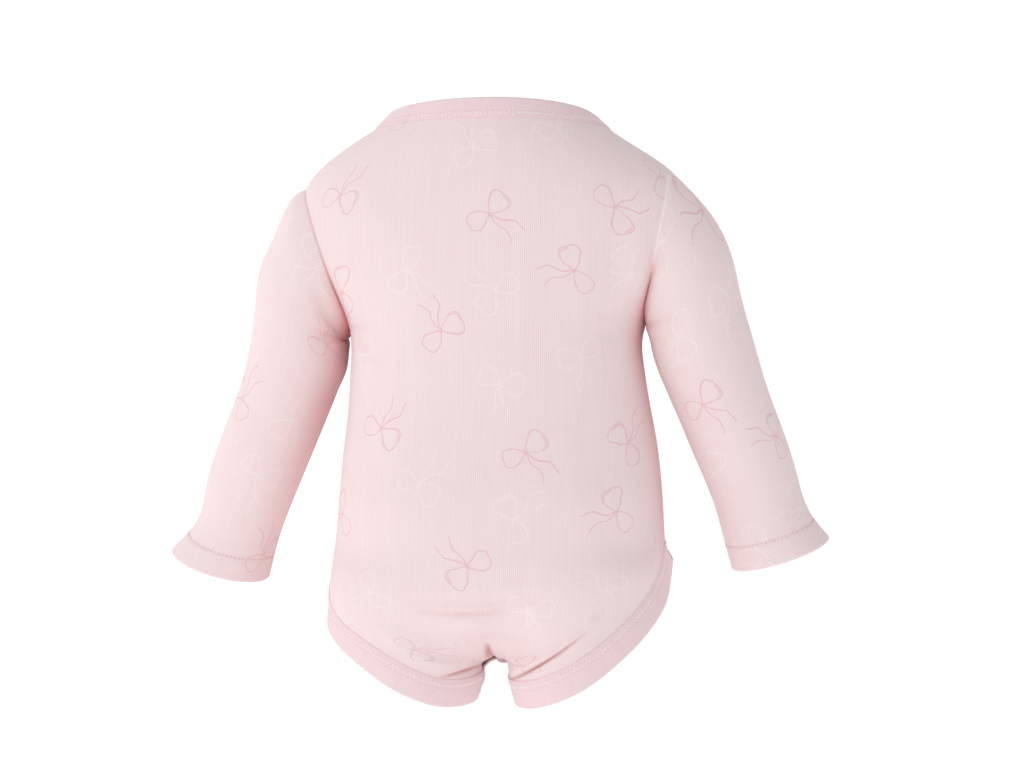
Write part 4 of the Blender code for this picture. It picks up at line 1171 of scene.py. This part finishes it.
panels = {}
for name, face in (("back_panel", 1), ("front_panel", -1)):
    grid = panel_points(face, UPPER, HALF, LOWER)
    grid = evened(grid, face, ROWS_TO[0] - 4, ROWS_TO[0] + 8, (1, 5))
    facing = normals(grid, (0, face, 0))
    plain = oval_facing(grid[: LEVEL_ROW - 1])
    facing[: LEVEL_ROW - 1] = plain
    u, v = grid_lengths(grid, LEVEL_ROW, len(HALF) - 1)
    rows = [row[1:] for row in FOLDS if row[0] == face]
    depth, painted_shading = fold_depth(grid[:, :, 0], grid[:, :, 2], rows)
    # Painted shade, dark red, in the steeper fold troughs, at 0.45 of its strength.
    painted_shading = 0.45 * painted_shading
    hip, arm, under = len(UPPER) + ROWS_TO[3], ROWS_TO[0], ROWS_TO[0] + ROWS_TO[1]
    side_line = np.concatenate([dense_line(grid[under : hip + 1, 0]), dense_line(grid[under : hip + 1, -1])])
    shoulder_line = np.concatenate([dense_line(grid[: arm + 1, 0]), dense_line(grid[: arm + 1, -1])])
    side_away, shoulder_away = distance_to(grid, side_line), distance_to(grid, shoulder_line)
    away = {k: distance_to(grid, line) for k, line in seam_lines.items()}
    nearest = np.minimum.reduce([side_away, shoulder_away, away["left"], away["right"]])
    edges = [dense_line(grid[0]), dense_line(grid[hip:, 0]), dense_line(grid[hip:, -1])]
    edge_away = distance_to(grid, np.concatenate(edges))
    depth = depth * np.clip(nearest / 3.0, 0, 1) * eased(0.15 + 0.85 * edge_away / 4.0)
    # Painted shade, dark red, in each armhole seam's groove and round each underarm, much stronger on the right side
    # turned from the light; on the right shoulder's back a painted highlight on the raised edge.
    for k in ("left", "right"):
        add, red = armhole_edge(grid, away[k], k, grid[:, :, 1])
        depth, painted_shading = depth + add, painted_shading + red
        near = np.linalg.norm(grid - np.array(UNDERARM[k]), axis=2)
        painted_shading = painted_shading + (0.10 if k == "left" else 0.34) * np.exp(-((near / 15.0) ** 2))
    depth += valley(side_away, 1.1, 0.18) + valley(shoulder_away, 1.1, 0.2)
    # Painted shade along the side and shoulder seams.
    painted_shading += 0.12 * np.exp(-((side_away / 0.8) ** 2)) + 0.16 * np.exp(-((shoulder_away / 0.8) ** 2))
    # Painted shade on the right side's cloth facing the sleeve, turned from the light, and at the edges that go into
    # the bindings.
    between = np.exp(-((side_away / 17.0) ** 2)) * eased((grid[:, :, 2] + 245) / 60)
    painted_shading += np.where(grid[:, :, 0] < 0, 0.46, 0.0) * between
    painted_shading += 0.12 * np.exp(-((edge_away / 0.8) ** 2))
    grid = grid - facing * depth[:, :, None]
    facing = normals(grid, (0, face, 0))
    by_seam = nearest[: LEVEL_ROW - 1] < 4
    facing[: LEVEL_ROW - 1][by_seam] = plain[by_seam]
    motifs = charted(BACK_PRINT, grid, facing, u, v) if face > 0 else repeated(u, v, 22, 40)
    made = shell(f"{name.split('_')[0]}_knit", grid, facing, CLOTH, False, u, v, painted_shading, motifs, (PRINTED, INSIDE), bulge=(0.2, 1, 0.1, 0.1))
    panels[name] = (made, grid, facing, u, v)

# ---------------------------------------------------------------------------
# The sleeves
# ---------------------------------------------------------------------------

AROUND = 132
SLEEVE_GIRTH = 166.0
sleeves = {}
for name, side in (("left", 1), ("right", -1)):
    length = sleeve_points(side, [0.0, 1.0], 24)[1][0]
    steps = np.concatenate([np.array((0, 0.3, 0.6, 1.0, 1.5, 2.1)), np.linspace(3.0, length - HEM_DEPTH - 2, 112), length - HEM_DEPTH + np.linspace(-1.2, 1.6, 8), np.linspace(length - HEM_DEPTH + 3, length - 0.4, 9), [length]])
    grid, above = sleeve_points(side, steps / length, AROUND)
    facing = normals(grid, (side, 0, 0), True)
    u, v = grid_lengths(grid, len(grid) - 1, 0)
    # The wales run down the sleeve, with its columns.
    u = np.broadcast_to(np.arange(AROUND) / AROUND * SLEEVE_GIRTH, u.shape).copy()
    v = np.broadcast_to(v.mean(axis=1)[:, None], v.shape).copy()
    rows = [(a * SLEEVE_ARC, b, c * SLEEVE_ARC, d, bend, wide, deep) for which, a, b, c, d, bend, wide, deep in SLEEVE_FOLDS if which == side]
    angles = np.broadcast_to(np.arange(AROUND) * 360 / AROUND, grid.shape[:2])
    heights = np.broadcast_to(above[:, None], grid.shape[:2])
    depth, painted_shading = np.zeros(grid.shape[:2]), np.zeros(grid.shape[:2])
    for turn in (-360, 0, 360):
        more, red = fold_depth((angles + turn) * SLEEVE_ARC, heights, rows)
        depth, painted_shading = depth + more, np.maximum(painted_shading, red)
    # Painted shade, dark red, in the steeper fold troughs, at half strength.
    painted_shading = 0.5 * painted_shading
    away = distance_to(grid, seam_lines[name])
    depth = depth * np.clip(away / 4.0, 0, 1) * eased((above - HEM_DEPTH) / 10)[:, None]
    # Painted shade in the armhole seam's groove; by the right sleeve's seam at the back, a painted highlight.
    add, red = armhole_edge(grid, away, name, grid[:, :, 1])
    depth, painted_shading = depth + add, painted_shading + red
    # A groove along the underarm seam with painted shade in it; painted shade round the underarm and down the sleeve's
    # inner side that faces the body, turned from the light, mostly on the left sleeve.
    under_away = distance_to(grid, dense_line(grid[:, AROUND // 2]))
    depth += valley(under_away, 1.4, 0.35)
    painted_shading += 0.25 * np.exp(-((under_away / 0.9) ** 2))
    under = np.linalg.norm(grid - np.array(UNDERARM[name]), axis=2)
    inner = np.exp(-(((angles - 178) / 44.0) ** 2))
    reach = (0.32 + 0.34 * eased((heights - 30) / 90)) if name == "left" else 0.03
    painted_shading += (0.16 if name == "left" else 0.30) * np.exp(-((under / 16.0) ** 2)) + reach * inner
    # The hem's stitch line: a groove, with painted shade in it.
    line = np.abs(above - (HEM_DEPTH - 1.0))
    depth += (0.30 * np.exp(-((line / 0.8) ** 2)))[:, None]
    painted_shading += (0.07 * np.exp(-((line / 1.2) ** 2)))[:, None]
    grid = grid - facing * depth[:, :, None]
    facing = normals(grid, (side, 0, 0), True)
    facing[:4] = facing[4]
    # The seam allowance: the sleeve's first ring is tucked in behind the panels' edges.
    tuck = grid[0] - grid[3]
    grid[0] += tuck / np.linalg.norm(tuck, axis=1)[:, None] * 0.7 - facing[0] * 0.22
    thick = CLOTH + (HEM - CLOTH) * eased((HEM_DEPTH + 0.8 - above) / 1.6)
    motifs = charted(SLEEVE_PRINT[name], grid, facing, u, v)
    motifs += repeated(u, v, 14 if side > 0 else 60, 10 if side > 0 else 70, motifs, facing)
    # Motifs that run over the outer line, where u starts again.
    wrapped = [(row[0] + k * SLEEVE_GIRTH, *row[1:]) for row in motifs for k in (-1, 0, 1)]
    made = shell(f"sleeve_{name}_knit", grid, facing, thick, True, u, v, painted_shading, wrapped, (PRINTED, INSIDE), bulge=(0.1, 1, 0, 0), arc=6)
    sleeves[name] = (made, grid, facing, u, v, above)

# ---------------------------------------------------------------------------
# The bindings. The profile: (height above the seam, stand off the panel's face).
# ---------------------------------------------------------------------------


def binding_profile(low, high, rows, stand=0.0):
    """The folded strip's section: its outside from the raw edge up to the fold and down the back, and then the slot
    between its two legs. rows are the heights of the stitch lines. Also the section's painted shade: dark red in the
    dips of the stitch lines and by the raw edge.
    """
    wall, back = 0.32, -1.545
    radius = (0.36 + stand - back) / 2
    top = high - radius - wall
    path, dips = [], []
    for h in np.concatenate([[low], low + np.array((0.12, 0.3, 0.55)), np.linspace(low + 0.8, top - 0.2, 30)]):
        dip = sum(math.exp(-(((h - r) / 0.42) ** 2)) for r in rows)
        belly = 0.10 * math.sin(math.pi * min(1.0, (h - low) / (high - low))) - 0.26 * (1 - float(eased((h - low) / 1.5)))
        path.append((h, 0.36 + stand + belly - 0.20 * dip))
        dips.append(dip)
    for a in np.radians(np.linspace(0, 180, 13)):
        path.append((top + radius * math.sin(a), back + radius + radius * math.cos(a)))
        dips.append(0)
    for h in np.linspace(top - 0.6, low + 0.2, 12):
        path.append((h, back))
        dips.append(0)
    path = np.array(path)
    run = np.gradient(path, axis=0)
    side = np.stack([run[:, 1] * -1, run[:, 0]], axis=1) / np.linalg.norm(run, axis=1)[:, None]
    thin = np.full(len(path), wall)
    thin[:4] *= (0.35, 0.72, 0.92, 1.0)
    thin[-3:] *= (1.0, 0.8, 0.4)
    outer, slot = path + side * thin[:, None], path - side * thin[:, None]
    # Painted shade in the dips of the stitch lines and at the raw edge by the seam.
    red = np.array(dips) * 0.16
    red[:2] += 0.20
    return np.concatenate([outer, slot[::-1]]), np.concatenate([red, red[::-1]])


def sewn_ends(seam, way, out, section):
    """A strip's stations with two more past each end, and its section at each; at the very ends the slot is pressed shut."""
    start, end = seam[0] - seam[1], seam[-1] - seam[-2]
    start, end = start / np.linalg.norm(start), end / np.linalg.norm(end)
    seam = np.concatenate([[seam[0] + start * 1.1, seam[0] + start * 0.7], seam, [seam[-1] + end * 0.7, seam[-1] + end * 1.1]])
    way, out = (np.concatenate([part[:1], part[:1], part, part[-1:], part[-1:]]) for part in (way, out))
    sections, slot = np.repeat(section[None], len(seam), axis=0), len(section) // 2
    sections[0, slot:, 1] = sections[-1, slot:, 1] = (section[:slot, 1].min() + section[:slot, 1].max()) / 2
    return seam, way, out, sections


NECK_LOW, NECK_ROWS = -0.7, (0.8, 3.2)
LEG_LOW, LEG_ROWS = -0.9, (0.9, 3.9)
seam, way, out = neck_frame(300)
# The strip's ends lap beside the wearer's left shoulder blade: past the join it sits a little lower and further out.
spot = np.degrees(np.arctan2(seam[:, 0], seam[:, 1]))
past = eased((spot - 57.0) / 1.2) * (1 - eased((spot - 100.0) / 30.0))
profiles = [binding_profile(NECK_LOW - 0.8 * p, NECK_BAND, NECK_ROWS, 0.25 * p) for p in past]
neck_made = banded("neck_rib", seam, way, out, [p[0] for p in profiles], True, (BAND,), profiles[0][1])
neck_parts = (seam, way, out)
leg_parts = {}
leg_made = {}
for name, side in (("left", 1), ("right", -1)):
    seam, way, out = leg_frame(side, np.linspace(1, 2, 110))
    leg_parts[name] = (seam, way, out)
    section, red = binding_profile(LEG_LOW, LEG_BAND, LEG_ROWS)
    leg_made[name] = banded(f"leg_rib_{name}", *sewn_ends(seam, way, out, section), False, (BAND,), red)

# ---------------------------------------------------------------------------
# Stitches: small capsules, joined in one mesh for each binding or cuff.
# ---------------------------------------------------------------------------


def capsules(name, centres, along, facing, length, radius, material):
    """Stitches as small rounded rods lying on the cloth: their middles, directions and the cloth's normals."""
    rings, around = 6, 6
    t = np.linspace(-1, 1, rings)
    swell = np.sqrt(np.clip(1 - t**4, 0.0, 1)) * 0.9 + 0.1
    angles = np.arange(around) / around * 2 * math.pi
    other = np.cross(along, facing)
    points, faces = [], []
    for k in range(rings):
        for a in angles:
            points.append(
                centres
                + along * (t[k] * length[:, None] / 2)
                + other * (math.cos(a) * radius * swell[k])
                + facing * (math.sin(a) * radius * swell[k] - radius * 0.7 * t[k] ** 2 + radius * 0.25)
            )
    points = np.stack(points, axis=1)
    base = []
    for k in range(rings - 1):
        for a in range(around):
            b = (a + 1) % around
            base.append((k * around + a, k * around + b, (k + 1) * around + b, (k + 1) * around + a))
    for start, turned in ((0, True), ((rings - 1) * around, False)):
        for quad in ((0, 1, 2, 3), (0, 3, 4, 5)):
            face = tuple(start + q for q in quad)
            base.append(face[::-1] if turned else face)
    base = np.array(base)
    many = (base[None] + (np.arange(len(centres)) * rings * around)[:, None, None]).reshape(-1, 4)
    made = mesh_object(name, points.reshape(-1, 3), many, None, None, None, (material,))
    return made


def along_line(points, spacing, closed, start=0.0):
    """Places at even spacing along a polyline: index numbers with fractions."""
    line = np.concatenate([points, points[:1]]) if closed else points
    run = np.concatenate([[0], np.cumsum(np.linalg.norm(np.diff(line, axis=0), axis=1))])
    count = int((run[-1] - start) / spacing)
    step = (run[-1] - start) / count if closed else spacing
    return np.interp(start + np.arange(count) * step, run, np.arange(len(line)))


def read_at(values, where, closed):
    line = np.concatenate([values, values[:1]]) if closed else values
    i = np.clip(where.astype(int), 0, len(line) - 2)
    f = (where - i)[:, None]
    return line[i] * (1 - f) + line[i + 1] * f


def unit(vectors):
    return vectors / np.maximum(np.linalg.norm(vectors, axis=1)[:, None], 1e-9)


def binding_stitches(name, parts, heights, closed, spacing=2.4, stand=0.50):
    """Two rows of stitches along a binding, and the looser thread that zigzags between them."""
    seam, way, out = parts
    centres, directions, facings = [], [], []
    for number, height in enumerate(heights):
        line = seam + way * height + out * stand
        where = along_line(line, spacing, closed, 0.4 + 0.9 * number)
        middle = read_at(line, where, closed)
        ahead = read_at(line, np.minimum(where + 0.5, len(line) - (0 if closed else 1) - 1e-6), closed)
        centres.append(middle)
        directions.append(unit(ahead - middle + 1e-9))
        facings.append(unit(read_at(out, where, closed)))
    lengths, count = [np.full(len(x), 1.95) for x in centres], len(centres[0])
    low, high = (seam + way * h + out * (stand + 0.20) for h in (heights[0] + 0.35, heights[1] - 0.35))
    where = along_line(low, spacing / 2, closed, 0.6)
    ends = [read_at(low, where, closed), read_at(high, where, closed)]
    start, end = ends[0][:-1].copy(), ends[1][1:].copy()
    start[1::2], end[1::2] = ends[1][:-1][1::2], ends[0][1:][1::2]
    centres.append((start + end) / 2)
    directions.append(unit(end - start))
    facings.append(unit(read_at(out, where, closed))[:-1])
    lengths.append(np.linalg.norm(end - start, axis=1))
    centres, directions, facings, lengths = (np.concatenate(x) for x in (centres, directions, facings, lengths))
    return capsules(name, centres, directions, facings, lengths, 0.23, THREAD)


stitches = {"neck": binding_stitches("neck_stitches", neck_parts, NECK_ROWS, True)}
for name in ("left", "right"):
    stitches[f"leg_{name}"] = binding_stitches(f"leg_stitches_{name}", leg_parts[name], LEG_ROWS, False)
for name in ("left", "right"):
    made, grid, facing, u, v, above = sleeves[name]
    row = int(np.argmin(np.abs(above - (HEM_DEPTH - 1.0))))
    line, up = grid[row] + facing[row] * 0.12, grid[row - 2] - grid[row + 2]
    where = along_line(line, 2.3, True)
    centres, ups, outs = read_at(line, where, True), unit(read_at(up, where, True)), unit(read_at(facing[row], where, True))
    stitches[f"cuff_{name}"] = capsules(f"cuff_stitches_{name}", centres, ups, outs, np.full(len(centres), 2.3), 0.22, THREAD_DEEP)

# ---------------------------------------------------------------------------
# Press studs
# ---------------------------------------------------------------------------


def cap_mesh(name, node):
    low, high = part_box(node)
    verts = np.array([v.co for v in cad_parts[node].data.vertices], float) / MM
    centre = verts.mean(axis=0)
    # The cap's own axis is the direction in which it is thinnest.
    spread = (verts - centre).T @ (verts - centre)
    values, vectors = np.linalg.eigh(spread)
    axis = vectors[:, 0]
    if axis[2] > 0:
        axis = -axis
    side = np.cross(axis, (0, 1, 0))
    side /= np.linalg.norm(side)
    other = np.cross(axis, side)
    heights = (verts - centre) @ axis
    base = centre + axis * heights.min()
    tall = heights.max() - heights.min()
    radius = np.linalg.norm((verts - centre) - np.outer(heights, axis), axis=1).max()
    profile = [(0.02, 0.0), (0.97, 0.0), (1.0, 0.10), (1.0, 0.34), (0.965, 0.52), (0.93, 0.60), (0.90, 0.61), (0.87, 0.66), (0.80, 0.80), (0.66, 0.92), (0.45, 0.985), (0.22, 1.0), (0.02, 1.0)]
    turns = 48
    angles = np.arange(turns) / turns * 2 * math.pi
    points = np.array([base + axis * (h * tall) + (np.outer(np.cos(angles), side) + np.outer(np.sin(angles), other)) * r * radius for r, h in profile])
    rows = len(profile)
    faces = []
    for i in range(rows - 1):
        for j in range(turns):
            k = (j + 1) % turns
            faces.append((i * turns + j, i * turns + k, (i + 1) * turns + k, (i + 1) * turns + j))
    for start in (0, (rows - 1) * turns):
        for j in range(1, turns // 2):
            quad = (start + j - 1, start + j, start + turns - 1 - j, start + turns - j) if j > 1 else (start, start + 1, start + turns - 2, start + turns - 1)
            faces.append(quad[::-1] if start == 0 else quad)
    points = points.reshape(-1, 3)
    faces = np.array(faces)
    a, b, c = (points[faces[turns * 3, k]] for k in (0, 1, 2))
    if np.dot(np.cross(b - a, c - a), a - centre) < 0:
        faces = faces[:, ::-1]
    return mesh_object(name, points, faces, None, None, None, (SNAP,))


snaps = {f"snap_{k}": cap_mesh(f"snap_cap_{k}", f"snap_{k}") for k in (1, 2, 3)}

# ---------------------------------------------------------------------------
# Each piece hung under the root, and the solid it stands for hidden
# ---------------------------------------------------------------------------


def area_of(piece):
    return sum(p.area for p in piece.data.polygons) / 2


def declare(piece, node):
    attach(piece, "root")
    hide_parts(node)


for piece in stitches.values():
    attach(piece, "root")

back, front = panels["back_panel"][0], panels["front_panel"][0]
declare(back, "back_panel")
declare(front, "front_panel")
for name in ("left", "right"):
    declare(sleeves[name][0], f"sleeve_{name}")
    declare(leg_made[name], f"leg_binding_{name}")
declare(neck_made, "neck_binding")
for node, piece in snaps.items():
    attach(piece, "root")
    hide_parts(node)

# ---------------------------------------------------------------------------
# Floor, light and camera
# ---------------------------------------------------------------------------

FLOOR_Z = -0.36
bpy.ops.mesh.primitive_circle_add(vertices=96, radius=3.0, fill_type="NGON", location=(0, 0, FLOOR_Z))
floor = bpy.context.object
floor.name = "floor"
made = bpy.data.materials.new("floor")
made.use_nodes = True
shader = made.node_tree.nodes["Principled BSDF"]
shader.inputs["Base Color"].default_value = (0.55, 0.55, 0.55, 1)
shader.inputs["Roughness"].default_value = 0.9
shader.inputs["Specular IOR Level"].default_value = 0.0
shader.inputs["Emission Color"].default_value = (1, 1, 1, 1)
shader.inputs["Emission Strength"].default_value = 0.62
floor.data.materials.append(made)

toward = Vector((-math.sin(math.radians(10)), math.cos(math.radians(10)), 0.0))
right = Vector((-math.cos(math.radians(10)), -math.sin(math.radians(10)), 0.0))
target = Vector((0.0, 0.0, -0.1264))

world = bpy.data.worlds.new("studio")
bpy.context.scene.world = world
world.use_nodes = True
tree = world.node_tree
background = tree.nodes["Background"]
where = tree.nodes.new("ShaderNodeTexCoord")
# A soft even light, with more of it from the wearer's left, some from the back and the rest from the front.
bright = None
for way, power in ((-right, 0.82), (toward, 0.24), (-toward, 0.50), (Vector((0, 0, 1)), -0.20)):
    dot = tree.nodes.new("ShaderNodeVectorMath")
    dot.operation = "DOT_PRODUCT"
    dot.inputs[1].default_value = way
    tree.links.new(where.outputs["Generated"], dot.inputs[0])
    part = Sum(tree, dot.outputs["Value"]).max(0.0) * power
    bright = part + 0.59 if bright is None else bright + part
tree.links.new(bright.socket, background.inputs["Color"])
background.inputs["Strength"].default_value = 1.0


def area_light(name, place, aim, size, power, colour=(1, 1, 1)):
    data = bpy.data.lights.new(name, "AREA")
    data.shape = "RECTANGLE"
    data.size, data.size_y = size
    data.energy = power
    data.color = colour
    lamp = bpy.data.objects.new(name, data)
    bpy.context.scene.collection.objects.link(lamp)
    lamp.location = place
    lamp.rotation_euler = (Vector(aim) - Vector(place)).to_track_quat("-Z", "Y").to_euler()
    return lamp


centre = Vector((0.0, 0.0, -0.14))
area_light("key", centre - right * 1.0 + toward * 2.3 - Vector((0, 0, 0.75)), centre, (1.3, 1.6), 9.0)

camera_data = bpy.data.cameras.new("camera")
camera_data.sensor_width = 36.0
camera_data.lens = 104.16
camera = bpy.data.objects.new("camera", camera_data)
bpy.context.scene.collection.objects.link(camera)
camera.location = target + toward * 1.6 + right * 0.0065
camera.rotation_euler = (-toward).to_track_quat("-Z", "Y").to_euler()
bpy.context.scene.camera = camera
bpy.context.scene.view_settings.view_transform = "Standard"
bpy.context.scene.view_settings.look = "None"
